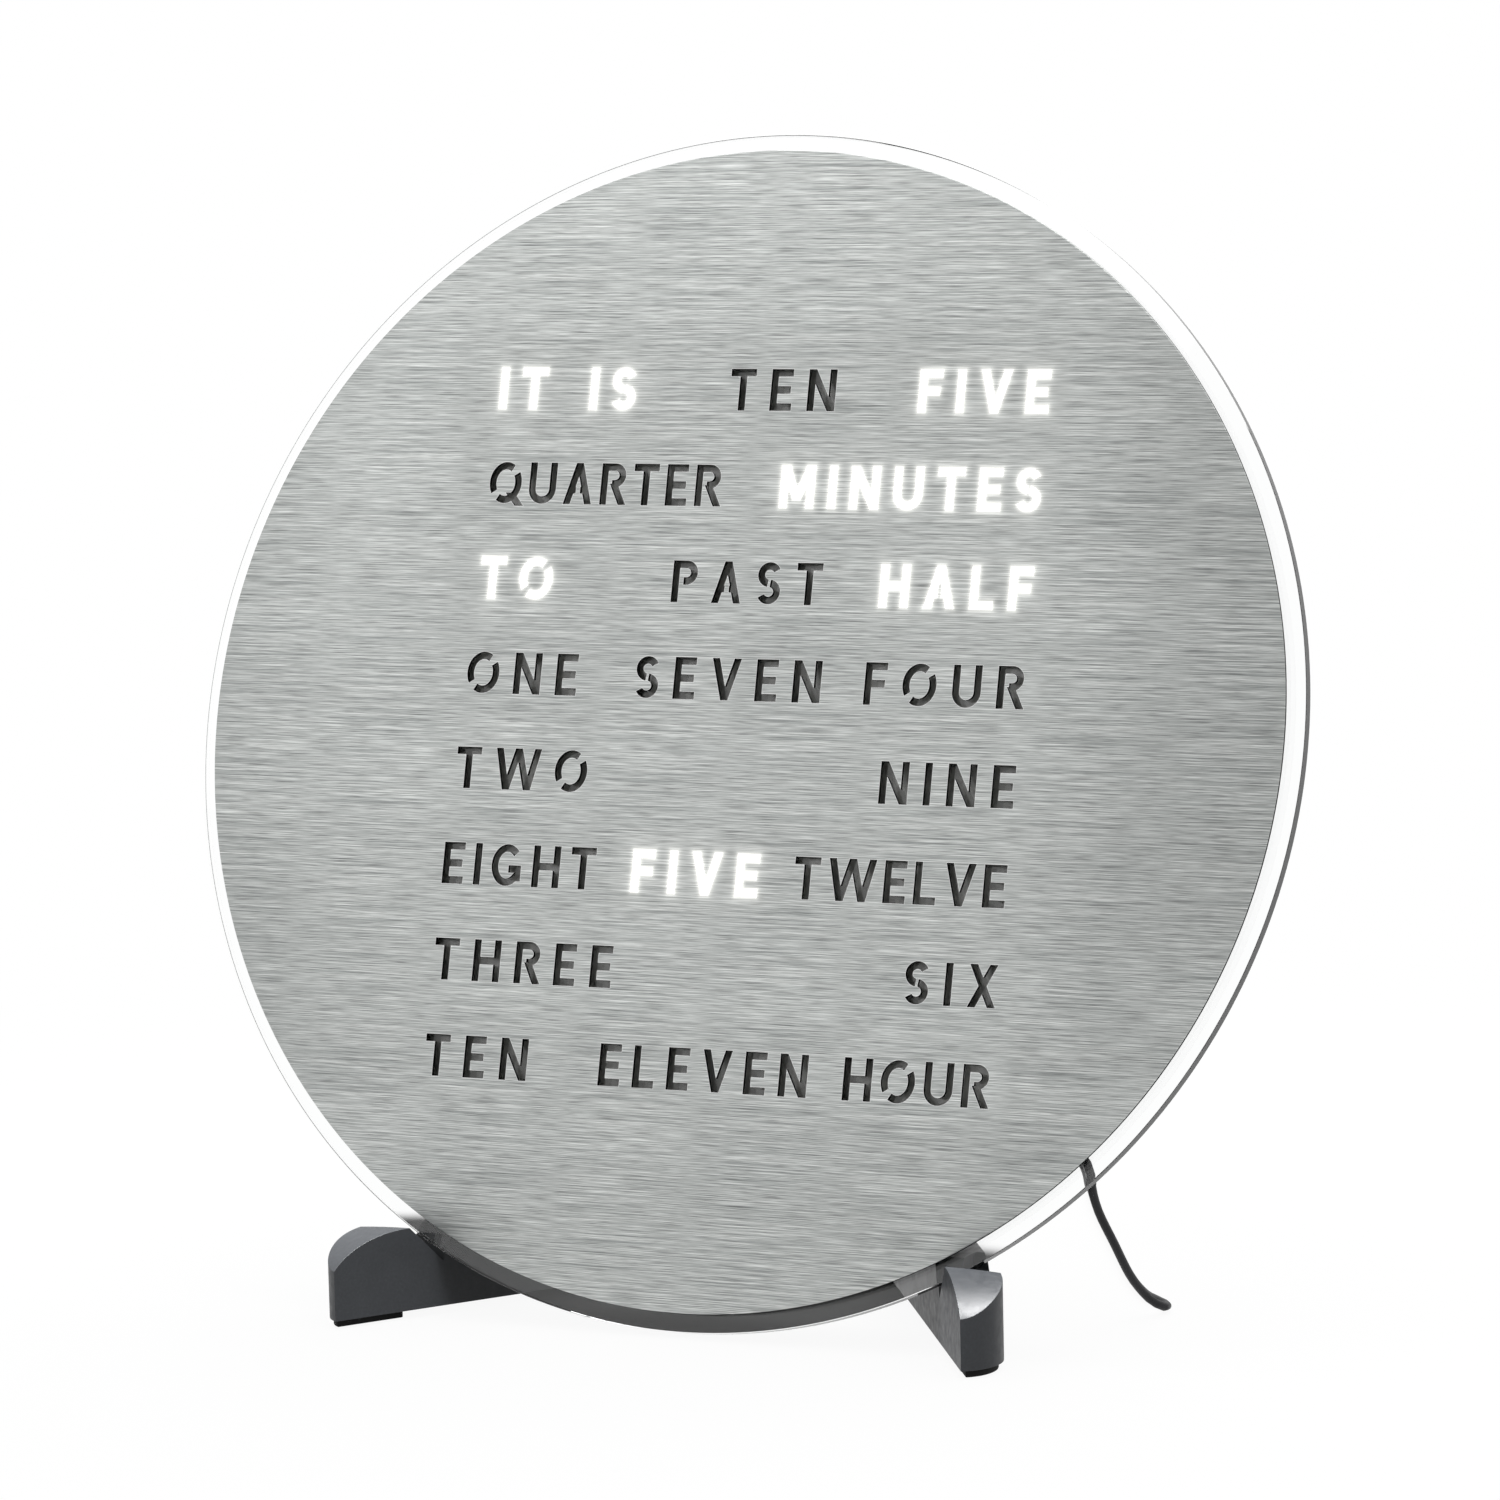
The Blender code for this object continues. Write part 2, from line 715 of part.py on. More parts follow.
def strip(name, row, head):
    """A flexible strip with square light-emitting diodes behind each word."""
    words = row_words(row)
    left, right = words[0][1], words[-1][2]
    middle = row_middle(row)
    regions = [
        (
            rectangle((left + right) / 2, middle, right - left + 2 * STRIP_END, STRIP_WIDTH),
            STRIP_FRONT,
            STRIP_BACK,
        )
    ]
    for _, word_left, word_right in words:
        width = word_right - word_left
        count = max(1, round(width / LED_SPACING))
        for i in range(count):
            x = word_left + width * (i + 0.5) / count
            regions.append((rectangle(x, middle, LED_SIDE, LED_SIDE), LED_FRONT, STRIP_BACK))
    terrace(name, regions, "white", head)


def board_pins():
    reach_x = BOARD_WIDTH / 2 - BOARD_PIN_INSET
    reach_z = BOARD_HEIGHT / 2 - BOARD_PIN_INSET
    return [
        (x, COVER_CENTRE_HEIGHT + z) for z in (-reach_z, reach_z) for x in (-reach_x, reach_x)
    ]


def build_board(head):
    board = (
        rounded_rectangle(0, COVER_CENTRE_HEIGHT, BOARD_WIDTH, BOARD_HEIGHT, BOARD_PIN_INSET / 2, 3),
        BOARD_FRONT,
        BOARD_BACK,
    )
    pins = holes(board_pins(), BOARD_PIN_RADIUS + GAP)
    terrace("control_board", [board] + pins, "board", head)
    chip = rectangle(CHIP_X, COVER_CENTRE_HEIGHT + CHIP_LINE, CHIP_SIDE, CHIP_SIDE)
    terrace("control_chip", [(chip, PARTS_FRONT, PARTS_FRONT + CHIP_HEIGHT)], "black", head)
    crystal = rounded_rectangle(
        CRYSTAL_X,
        COVER_CENTRE_HEIGHT + CHIP_LINE,
        CRYSTAL_LENGTH,
        CRYSTAL_WIDTH,
        CRYSTAL_WIDTH * 0.4,
        3,
    )
    terrace("clock_crystal", [(crystal, PARTS_FRONT, PARTS_FRONT + CRYSTAL_HEIGHT)], "zinc", head)
    cell_z = COVER_CENTRE_HEIGHT + CELL_LINE
    cup = CELL_RADIUS + GAP + CELL_WALL
    floor = PARTS_FRONT + CELL_FLOOR
    terrace(
        "cell_holder",
        [
            (circle(CELL_X, cell_z, cup, 24), PARTS_FRONT, floor + GAP + CELL_HEIGHT * 0.7),
            (circle(CELL_X, cell_z, CELL_RADIUS + GAP, 24), PARTS_FRONT, floor),
        ],
        "black",
        head,
    )
    cell = (circle(CELL_X, cell_z, CELL_RADIUS, 24), floor + GAP, floor + GAP + CELL_HEIGHT)
    terrace("backup_cell", [cell], "zinc", head)
    terminal = rectangle(
        TERMINAL_X, COVER_CENTRE_HEIGHT + TERMINAL_LINE, TERMINAL_WIDTH, TERMINAL_DEPTH
    )
    terrace(
        "cord_terminal", [(terminal, PARTS_FRONT, PARTS_FRONT + TERMINAL_HEIGHT)], "grey", head
    )
    for name, (x, z) in zip(("hour", "minute", "light"), button_places()):
        terrace(
            f"{name}_switch",
            [
                (rectangle(x, z, SWITCH_SIDE, SWITCH_SIDE), PARTS_FRONT, PARTS_FRONT + SWITCH_BODY),
                (
                    circle(x, z, SWITCH_PLUNGER_RADIUS, 10),
                    PARTS_FRONT,
                    PARTS_FRONT + SWITCH_BODY + SWITCH_PLUNGER,
                ),
            ],
            "black",
            head,
        )


def button_places():
    return [
        (i * BUTTON_SPACING, COVER_CENTRE_HEIGHT - BUTTON_LINE) for i in (-1, 0, 1)
    ]


def build_buttons(head):
    flange_back = COVER_FRONT - GAP
    for name, (x, z) in zip(("hour", "minute", "light"), button_places()):
        terrace(
            f"{name}_button",
            [
                (
                    circle(x, z, BUTTON_FLANGE_RADIUS, 16),
                    flange_back - BUTTON_FLANGE,
                    flange_back,
                ),
                (
                    circle(x, z, BUTTON_RADIUS, 16),
                    flange_back - BUTTON_FLANGE,
                    HOUSING_BACK + BUTTON_PROUD,
                ),
            ],
            "grey",
            head,
        )


def cover_screw_places():
    reach_x = COVER_WIDTH / 2 - COVER_LEDGE / 2
    reach_z = COVER_HEIGHT / 2 - COVER_LEDGE / 2
    return [
        (x, COVER_CENTRE_HEIGHT + z) for z in (-reach_z, reach_z) for x in (-reach_x, reach_x)
    ]


def build_housing(head):
    opening_width = COVER_WIDTH - 2 * COVER_LEDGE
    opening_height = COVER_HEIGHT - 2 * COVER_LEDGE
    recess = rounded_rectangle(
        0, COVER_CENTRE_HEIGHT, COVER_WIDTH + 2 * GAP, COVER_HEIGHT + 2 * GAP, COVER_CORNER + GAP
    )
    opening = rounded_rectangle(
        0, COVER_CENTRE_HEIGHT, opening_width, opening_height, COVER_CORNER / 2
    )
    regions = [
        (circle(0, 0, HOUSING_RADIUS, 64), HOUSING_FRONT, HOUSING_BACK),
        (circle(0, 0, HOUSING_RADIUS - HOUSING_WALL, 64), WALL_FRONT, HOUSING_BACK),
        (recess, WALL_FRONT, LEDGE_BACK),
        (opening, None, None),
    ]
    regions += holes(post_places(), SCREW_RADIUS + GAP)
    for x, z in cover_screw_places():
        regions.append((circle(x, z, BOSS_RADIUS, 12), WALL_FRONT - BOSS_HEIGHT, LEDGE_BACK))
    regions += holes(cover_screw_places(), SMALL_SCREW_RADIUS + GAP)
    housing = terrace("rear_housing", regions, "black", head)
    passage = turned(
        "cord_passage_cutter",
        [
            (0, -OVERRUN),
            (RELIEF_NECK_RADIUS + GAP, -OVERRUN),
            (RELIEF_NECK_RADIUS + GAP, OVERRUN),
            (0, OVERRUN),
        ],
        "black",
        head,
    )
    place_on_relief_axis(passage, HOUSING_RADIUS - HOUSING_WALL / 2)
    boolean(housing, as_cutter(passage))
    cover = rounded_rectangle(0, COVER_CENTRE_HEIGHT, COVER_WIDTH, COVER_HEIGHT, COVER_CORNER)
    regions = [(cover, COVER_FRONT, HOUSING_BACK)]
    regions += holes(button_places(), BUTTON_RADIUS + GAP, 16)
    regions += holes(cover_screw_places(), SMALL_SCREW_RADIUS + GAP)
    terrace("service_cover", regions, "black", head)
    for i, (x, z) in enumerate(cover_screw_places()):
        screw(
            f"cover_screw_{i + 1}",
            SMALL_SCREW_RADIUS,
            SMALL_SCREW_HEAD_RADIUS,
            SMALL_SCREW_REACH,
            (x, HOUSING_BACK + GAP, z),
            head,
        )
    for i, (x, z) in enumerate(post_places()):
        post = (circle(x, z, POST_RADIUS, 12), CLEAR_BACK + GAP, WALL_FRONT - GAP)
        bore_front = WALL_FRONT - GAP - POST_BORE_DEPTH
        bore = (circle(x, z, SCREW_RADIUS + GAP, 12), CLEAR_BACK + GAP, bore_front)
        terrace(f"post_{i + 1}", [post, bore], "zinc", head)
        reach = BACK_WALL + SCREW_REACH
        place = (x, HOUSING_BACK + GAP, z)
        screw(f"housing_screw_{i + 1}", SCREW_RADIUS, SCREW_HEAD_RADIUS, reach, place, head)


def screw(name, radius, head_radius, reach, place, parent=None, colour="zinc"):
    """A pan-head screw whose head's seat is at its place, with the shank running forwards."""
    height = SCREW_HEAD_HEIGHT
    obj = turned(
        name,
        [
            (0, -reach),
            (radius, -reach),
            (radius, 0),
            (head_radius, 0),
            (head_radius, height * 0.45),
            (head_radius * 0.72, height),
            (radius * 0.6, height),
            (radius * 0.45, height * 0.5),
            (0, height * 0.5),
        ],
        colour,
        parent,
        steps=10,
    )
    obj.location = place
    return obj


def place_on_relief_axis(obj, radius):
    """Turns a piece's depth axis outwards along the strain relief and sets it at this radius."""
    outwards = Vector((math.cos(RELIEF_ANGLE), 0, math.sin(RELIEF_ANGLE)))
    obj.rotation_mode = "QUATERNION"
    obj.rotation_quaternion = Vector((0, 1, 0)).rotation_difference(outwards)
    obj.location = outwards * radius + Vector((0, RELIEF_DEPTH, 0))


def build_strain_relief(head):
    inner = HOUSING_RADIUS - HOUSING_WALL - GAP
    outer = HOUSING_RADIUS + GAP
    relief = turned(
        "strain_relief",
        [
            (0, inner - RELIEF_FLANGE - outer),
            (RELIEF_FLANGE_RADIUS, inner - RELIEF_FLANGE - outer),
            (RELIEF_FLANGE_RADIUS, inner - outer),
            (RELIEF_NECK_RADIUS, inner - outer),
            (RELIEF_NECK_RADIUS, 0),
            (RELIEF_FLANGE_RADIUS, 0),
            (RELIEF_FLANGE_RADIUS, RELIEF_FLANGE),
            (RELIEF_BASE_RADIUS, RELIEF_FLANGE),
            (RELIEF_TIP_RADIUS, RELIEF_FLANGE + RELIEF_LENGTH),
            (0, RELIEF_FLANGE + RELIEF_LENGTH),
        ],
        "rubber",
        head,
        steps=12,
    )
    place_on_relief_axis(relief, outer)
    start_radius = inner - RELIEF_FLANGE - GAP
    terminal_side = TERMINAL_X + TERMINAL_WIDTH / 2 + GAP
    terminal_z = COVER_CENTRE_HEIGHT + TERMINAL_LINE
    end_depth = PARTS_FRONT + TERMINAL_HEIGHT / 2
    run_depth = (CARRIER_BACK + WALL_FRONT - BOSS_HEIGHT) / 2
    bend = LEAD_BEND
    route = [
        on_relief_axis(start_radius, RELIEF_DEPTH),
        on_relief_axis(start_radius - bend, (RELIEF_DEPTH + run_depth) / 2),
        on_relief_axis(start_radius - 2 * bend, run_depth),
        Vector((terminal_side + 3 * bend, run_depth, terminal_z - 2 * bend)),
        Vector((terminal_side + 2 * bend, run_depth, terminal_z - bend / 2)),
        Vector((terminal_side + bend, (run_depth + end_depth) / 2, terminal_z)),
        Vector((terminal_side, end_depth, terminal_z)),
    ]
    tube("inner_lead", smooth_route(route, CORD_STEP), head)


def on_relief_axis(radius, depth):
    return Vector((radius * math.cos(RELIEF_ANGLE), depth, radius * math.sin(RELIEF_ANGLE)))


def smooth_route(points, step):
    """Points at even steps along a smooth curve through the route's own points."""
    points = [Vector(point) for point in points]
    ends = [2 * points[0] - points[1]] + points + [2 * points[-1] - points[-2]]
    fine = []
    for i in range(1, len(ends) - 2):
        before, here, after, beyond = ends[i - 1 : i + 3]
        for k in range(20):
            t = k / 20
            fine.append(
                0.5
                * (
                    2 * here
                    + (after - before) * t
                    + (2 * before - 5 * here + 4 * after - beyond) * t * t
                    + (3 * here - before - 3 * after + beyond) * t * t * t
                )
            )
    fine.append(points[-1])
    lengths = [0.0]
    for a, b in zip(fine, fine[1:]):
        lengths.append(lengths[-1] + (b - a).length)
    count = max(2, round(lengths[-1] / step))
    even, j = [], 0
    for i in range(count + 1):
        target = lengths[-1] * i / count
        while j < len(fine) - 2 and lengths[j + 1] < target:
            j += 1
        share = (target - lengths[j]) / (lengths[j + 1] - lengths[j])
        even.append(fine[j].lerp(fine[j + 1], share))
    return even


def tube(name, points, parent=None, resolution=2):
    curve = bpy.data.curves.new(name, "CURVE")
    curve.dimensions = "3D"
    curve.bevel_depth = CORD_RADIUS
    curve.bevel_resolution = resolution
    curve.use_fill_caps = True
    spline = curve.splines.new("POLY")
    spline.points.add(len(points) - 1)
    for place, point in zip(spline.points, points):
        place.co = (*point, 1.0)
    curve.materials.append(material("rubber"))
    obj = bpy.data.objects.new(name, curve)
    obj.parent = parent
    bpy.context.collection.objects.link(obj)
    return obj


def path_length(points):
    return sum((b - a).length for a, b in zip(points, points[1:]))


def head_to_world(point):
    """A point of the head's own frame, in the world's."""
    x, depth, z = point
    return Vector(
        (
            x,
            HEAD_Y + depth * math.cos(LEAN) + z * math.sin(LEAN),
            HEAD_Z - depth * math.sin(LEAN) + z * math.cos(LEAN),
        )
    )


def coil_point(turns):
    """A point of the coil's centre line after this many turns: in and out, a layer at a time."""
    done = 0.0
    height = COIL_BOTTOM + CORD_RADIUS
    radius = COIL_OUTER_RADIUS
    for layer in range(COIL_LAYERS):
        inwards = layer % 2 == 0
        spent = min(turns - done, COIL_PITCH_TURNS)
        start = COIL_OUTER_RADIUS if inwards else COIL_INNER_RADIUS
        radius = start + (-1 if inwards else 1) * COIL_RADIAL_PITCH * spent
        done += COIL_PITCH_TURNS
        if turns <= done or layer == COIL_LAYERS - 1:
            break
        share = min((turns - done) / 0.5, 1.0)
        height += COIL_LAYER_HEIGHT * (3 - 2 * share) * share * share
        done += 0.5
        if turns <= done:
            break
    angle = COIL_START + 2 * math.pi * turns
    return Vector(
        (
            COIL_CENTRE_X + radius * math.cos(angle),
            COIL_CENTRE_Y + radius * math.sin(angle),
            height,
        )
    )


def coil_points():
    """The coil's points, with a straight end at either side, square to what it meets."""
    count = round(COIL_TURNS * COIL_POINTS_A_TURN)
    turns = [coil_point(COIL_TURNS * i / count) for i in range(count + 1)]
    ahead = -heading(0)
    onwards = heading(COIL_TURNS)
    first = [turns[0] + ahead * CORD_DIAMETER * k for k in (2, 1)]
    last = [turns[-1] + onwards * CORD_DIAMETER * k for k in (1, 2, 3, 4)]
    return first + turns + last


def heading(turns):
    """The level direction of the cord after this many turns of the coil."""
    angle = COIL_START + 2 * math.pi * turns
    return Vector((-math.sin(angle), math.cos(angle), 0))


def least_gap(points):
    """The least distance between the surfaces of two passes of the tube."""
    apart = COIL_POINTS_A_TURN // 3
    least = min(
        (points[i] - points[j]).length
        for i in range(len(points))
        for j in range(i + apart, len(points))
    )
    return least - CORD_DIAMETER


def build_cord():
    coil = coil_points()
    gap = least_gap(coil)
    print(f"coil: least gap to itself {gap * 1000:.2f} mm, wanted over {COIL_LEAST_GAP * 1000:.2f} mm")
    tube("cord_coil", coil, resolution=1)
    relief_end = HOUSING_RADIUS + GAP + RELIEF_FLANGE + RELIEF_LENGTH
    start = head_to_world(on_relief_axis(relief_end + GAP, RELIEF_DEPTH))
    outwards = head_to_world(on_relief_axis(relief_end + GAP + CORD_DIAMETER, RELIEF_DEPTH))
    meeting = (coil[0] - coil[1]).normalized()
    end = coil[0] + meeting * GAP
    before = coil[0] + meeting * (GAP + CORD_DIAMETER)
    lead = smooth_route([start, outwards] + CORD_ROUTE + [before, end], CORD_STEP)
    tube("cord_lead", lead)
    print(f"cord: {path_length(lead) + path_length(coil):.3f} m long")
    build_tie()
    build_adapter(coil)


def build_tie():
    """A flat band round the coil's bundle, between two of its radii."""
    inner_width = COIL_OUTER_RADIUS - COIL_INNER_RADIUS + CORD_DIAMETER + 2 * TIE_SPACE
    inner_height = COIL_LAYER_HEIGHT * (COIL_LAYERS - 1) + CORD_DIAMETER + TIE_SPACE
    middle = (COIL_OUTER_RADIUS + COIL_INNER_RADIUS) / 2
    centre = TIE_THICKNESS + GAP + inner_height / 2
    tie = terrace(
        "cord_tie",
        [
            (
                rounded_rectangle(
                    0,
                    0,
                    inner_width + 2 * TIE_THICKNESS,
                    inner_height + 2 * TIE_THICKNESS,
                    CORD_RADIUS + TIE_THICKNESS,
                    3,
                ),
                -TIE_WIDTH / 2,
                TIE_WIDTH / 2,
            ),
            (rounded_rectangle(0, 0, inner_width, inner_height, CORD_RADIUS, 3), None, None),
        ],
        "rubber",
        None,
    )
    tie.location = (
        COIL_CENTRE_X + middle * math.cos(TIE_ANGLE),
        COIL_CENTRE_Y + middle * math.sin(TIE_ANGLE),
        centre,
    )
    tie.rotation_euler = (0, 0, TIE_ANGLE)


def build_adapter(coil):
    """The plug-in adapter at the cord's end, lying on the table with its pins level."""
    onwards = (coil[-1] - coil[-2]).normalized()
    mouth = coil[-1] + onwards * GAP
    half_height = mouth.z - GAP
    shell = terrace(
        "adapter_shell",
        [
            (
                rounded_rectangle(0, 0, ADAPTER_WIDTH, 2 * half_height, ADAPTER_CORNER, 4),
                ADAPTER_BUSH_LENGTH,
                ADAPTER_BUSH_LENGTH + ADAPTER_LENGTH,
            ),
            (
                circle(0, 0, ADAPTER_BUSH_RADIUS, 20),
                0.0,
                ADAPTER_BUSH_LENGTH + ADAPTER_LENGTH,
            ),
        ]
        + [
            (
                circle(side * PIN_SPACING / 2, 0, PIN_RADIUS + GAP, 16),
                ADAPTER_BUSH_LENGTH,
                ADAPTER_BUSH_LENGTH + ADAPTER_LENGTH - PIN_SEAT,
            )
            for side in (-1, 1)
        ],
        "black",
        None,
    )
    turn = math.atan2(-onwards.x, onwards.y)
    shell.location = mouth
    shell.rotation_euler = (0, 0, turn)
    seat = ADAPTER_BUSH_LENGTH + ADAPTER_LENGTH - PIN_SEAT + GAP
    for i, side in enumerate((-1, 1)):
        pin = turned(
            f"plug_pin_{i + 1}",
            [
                (0, seat),
                (PIN_RADIUS, seat),
                (PIN_RADIUS, seat + PIN_LENGTH - PIN_RADIUS),
                (PIN_RADIUS * 0.6, seat + PIN_LENGTH),
                (0, seat + PIN_LENGTH),
            ],
            "brass",
            steps=16,
        )
        across = Vector((math.cos(turn), math.sin(turn), 0))
        pin.location = mouth + across * (side * PIN_SPACING / 2)
        pin.rotation_euler = (0, 0, turn)


def arm_frame(side):
    """The front inner corner of an arm at its underside, and its directions to the rear and outwards."""
    origin = Vector((side * ARM_CORNER_X, STAND_FRONT, PAD_THICKNESS))
    along = Vector((-side * math.sin(ARM_ANGLE), math.cos(ARM_ANGLE), 0))
    across = Vector((side * math.cos(ARM_ANGLE), math.sin(ARM_ANGLE), 0))
    return origin, along, across


def nose_plan(side, inset):
    """The rounded nose from above, as an arc from the arm's inner side to its outer side."""
    origin, along, across = arm_frame(side)
    points = []
    for i in range(NOSE_STEPS + 1):
        angle = math.pi / 2 * i / NOSE_STEPS
        s = inset + (NOSE_PLAN_LENGTH - inset) * (1 - math.cos(angle))
        o = inset + (ARM_WIDTH - 2 * inset) * math.sin(angle)
        points.append(origin + along * s + across * o)
    return points


def arm_plan(side):
    """The arm from above: a rounded nose, straight sides, and a mitre where the two arms meet."""
    origin, along, across = arm_frame(side)
    points = nose_plan(side, 0)
    outer = origin + across * ARM_WIDTH
    points.append(outer + along * ((STAND_BACK - outer.y) / along.y))
    points.append(Vector((side * GAP / 2, STAND_BACK, 0)))
    points.append(origin + along * ((side * GAP / 2 - origin.x) / along.x))
    return [(point.x, point.y) for point in points]


def arm_side():
    """The arm from its side: the curved nose, the level top behind the disc and the tail."""
    points = []
    for i in range(NOSE_STEPS + 1):
        s = -NOSE_PLAN_LENGTH / 6 + (NOSE_LENGTH + NOSE_PLAN_LENGTH / 6) * (1 - math.cos(
            math.pi / 2 * i / NOSE_STEPS
        ))
        share = (NOSE_LENGTH - s) / NOSE_HALF_LENGTH
        height = NOSE_TOP - NOSE_HALF_HEIGHT * (1 - math.sqrt(1 - share * share))
        points.append((s, height))
    block = NOSE_LENGTH + REAR_BLOCK_LENGTH
    points.append((block, REAR_TOP))
    points.append((block + ARM_SLOPE_LENGTH, ARM_SLOPE_HEIGHT))
    end = 2 * STAND_DEPTH
    points.append((end, ARM_END_HEIGHT))
    points.append((end, 0))
    points.append((-NOSE_PLAN_LENGTH / 6, 0))
    return points


def notch_outlines():
    """Two sections as (y, z): the notch, whose front flank clears the disc's rim where the arm's inner
    side meets it and whose rear runs along the disc's back, and what falls away behind it."""
    inner_x = ARM_CORNER_X
    for _ in range(6):
        drop = math.sqrt(CLEAR_DISC_RADIUS**2 - inner_x**2)
        behind = CLEAR_BACK * math.cos(LEAN) - drop * math.sin(LEAN)
        inner_x = ARM_CORNER_X - (FOOT_REACH + behind) * math.tan(ARM_ANGLE)
    rim = head_to_world((0, CLEAR_FRONT, -drop))
    back = head_to_world((0, CLEAR_BACK + GAP, -drop))
    rise = math.tan(FLANK_SLOPE)
    tilt = math.tan(LEAN)
    rim_z = rim.z - GAP / math.cos(FLANK_SLOPE)
    behind_rim = (back.y - rim.y - tilt * (back.z - rim_z)) / (1 + tilt * rise)
    rest = (rim.y + behind_rim, rim_z - behind_rim * rise)
    rest_top = (rest[0] + (HEAD_Z - rest[1]) * tilt, HEAD_Z)
    foot_z = PAD_THICKNESS + NOSE_TOP - NOTCH_DEPTH
    foot = (rim.y + (rim_z - foot_z) / rise, foot_z)
    notch = [rest, rest_top, (rim.y - (HEAD_Z - rim_z) / rise, HEAD_Z)]
    fall = [rest, foot, (foot[0] + (HEAD_Z - foot_z) / rise, HEAD_Z), (rest[0], HEAD_Z)]
    return notch, fall


def build_stand():
    section, fall = notch_outlines()
    notch = side_prism(
        "notch_cutter",
        section,
        (0, 0, 0),
        (0, 1, 0),
        (1, 0, 0),
        -CLEAR_DISC_RADIUS,
        2 * CLEAR_DISC_RADIUS,
    )
    seat_z = PAD_THICKNESS + BRIDGE_SEAT
    front = STAND_BACK - BRIDGE_LENGTH
    seat = prism(
        "bridge_seat_cutter",
        [
            (-STAND_DEPTH, front - GAP),
            (STAND_DEPTH, front - GAP),
            (STAND_DEPTH, STAND_DEPTH),
            (-STAND_DEPTH, STAND_DEPTH),
        ],
        seat_z,
        HEAD_Z,
    )
    for cutter in (notch, seat):
        as_cutter(cutter)
    for side, name in ((-1, "left"), (1, "right")):
        behind = side_prism(
            f"{name}_fall_cutter",
            fall,
            (0, 0, 0),
            (0, 1, 0),
            (side, 0, 0),
            REST_REACH,
            CLEAR_DISC_RADIUS,
        )
        build_arm(side, name, (notch, as_cutter(behind), seat))
    build_bridge(seat_z + GAP, front)


def build_arm(side, name, cutters):
    origin, along, across = arm_frame(side)
    arm = side_prism(
        f"{name}_arm", arm_side(), origin, along, across, -STAND_DEPTH, 2 * STAND_DEPTH
    )
    plan = prism(f"{name}_plan_cutter", arm_plan(side), -OVERRUN, HEAD_Z)
    boolean(arm, as_cutter(plan), "INTERSECT")
    for cutter in cutters:
        boolean(arm, cutter)
    for place, pad in (("front", front_pad), ("rear", rear_pad)):
        top = PAD_THICKNESS + PAD_RECESS
        cutter = prism(f"{name}_{place}_pad_cutter", pad(side, GAP), -OVERRUN, top)
        boolean(arm, as_cutter(cutter))
        prism(f"{place}_pad_{name}", pad(side, 0), 0.0, top - GAP, "rubber")
    for i, (x, y) in enumerate(bridge_screw_places(side)):
        hole = prism(
            f"{name}_screw_cutter_{i + 1}",
            [(x + dx, y + dy) for dx, dy in circle(0, 0, SCREW_RADIUS + GAP, 12)],
            PAD_THICKNESS + BRIDGE_SEAT - SCREW_REACH,
            HEAD_Z,
        )
        boolean(arm, as_cutter(hole))


def front_pad(side, grown):
    """The front pad from above, or a larger outline for its recess. It follows the arm's nose."""
    origin, along, across = arm_frame(side)
    inset = PAD_INSET - grown
    points = nose_plan(side, inset)
    for o in (ARM_WIDTH - inset, inset):
        points.append(origin + along * (PAD_REACH + grown) + across * o)
    return [(point.x, point.y) for point in points]


def rear_pad(side, grown):
    origin, along, across = arm_frame(side)
    middle = origin + along * (ARM_LENGTH - REAR_PAD_INSET) + across * (ARM_WIDTH / 2)
    return circle(middle.x, middle.y, REAR_PAD_RADIUS + grown, 16)


def bridge_screw_places(side):
    origin, along, across = arm_frame(side)
    back = ARM_LENGTH - BRIDGE_SCREW_INSET
    front = back - BRIDGE_SCREW_SPACING
    places = [origin + along * s + across * (ARM_WIDTH / 2) for s in (front, back)]
    return [(place.x, place.y) for place in places]


def build_bridge(bottom, front):
    """The plate that ties the two arms together at the rear."""
    origin, along, across = arm_frame(1)
    outer = origin + across * (ARM_WIDTH - BRIDGE_MARGIN)
    back = STAND_BACK - BRIDGE_MARGIN
    front_x = outer.x + along.x * (front - outer.y) / along.y
    back_x = outer.x + along.x * (back - outer.y) / along.y
    outline = [(-front_x, front), (front_x, front), (back_x, back), (-back_x, back)]
    bridge = prism("rear_bridge", outline, bottom, bottom + BRIDGE_THICKNESS, "anthracite")
    number = 0
    for side in (-1, 1):
        for x, y in bridge_screw_places(side):
            number += 1
            hole = prism(
                f"bridge_hole_cutter_{number}",
                [(x + dx, y + dy) for dx, dy in circle(0, 0, SCREW_RADIUS + GAP, 12)],
                bottom - OVERRUN,
                bottom + BRIDGE_THICKNESS + OVERRUN,
            )
            boolean(bridge, as_cutter(hole))
            place = (x, y, bottom + BRIDGE_THICKNESS + GAP)
            bolt = screw(
                f"bridge_screw_{number}",
                SCREW_RADIUS,
                SCREW_HEAD_RADIUS,
                BRIDGE_THICKNESS + SCREW_REACH - SCREW_RADIUS,
                place,
            )
            bolt.rotation_euler = (math.pi / 2, 0, 0)


def main():
    clear_scene()
    head = bpy.data.objects.new("head_axis", None)
    bpy.context.collection.objects.link(head)
    head.location = (0, HEAD_Y, HEAD_Z)
    head.rotation_euler = (-LEAN, 0, 0)
    build_dial(head)
    build_lights(head)
    build_board(head)
    build_buttons(head)
    build_housing(head)
    build_strain_relief(head)
    build_stand()
    build_cord()


main()
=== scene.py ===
"""Looks of a round table clock that tells the time in lit words.

Metres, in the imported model's frame.
"""

import math

import bmesh
import bpy
import numpy as np
from mathutils import Matrix, Vector
from mathutils.geometry import delaunay_2d_cdt


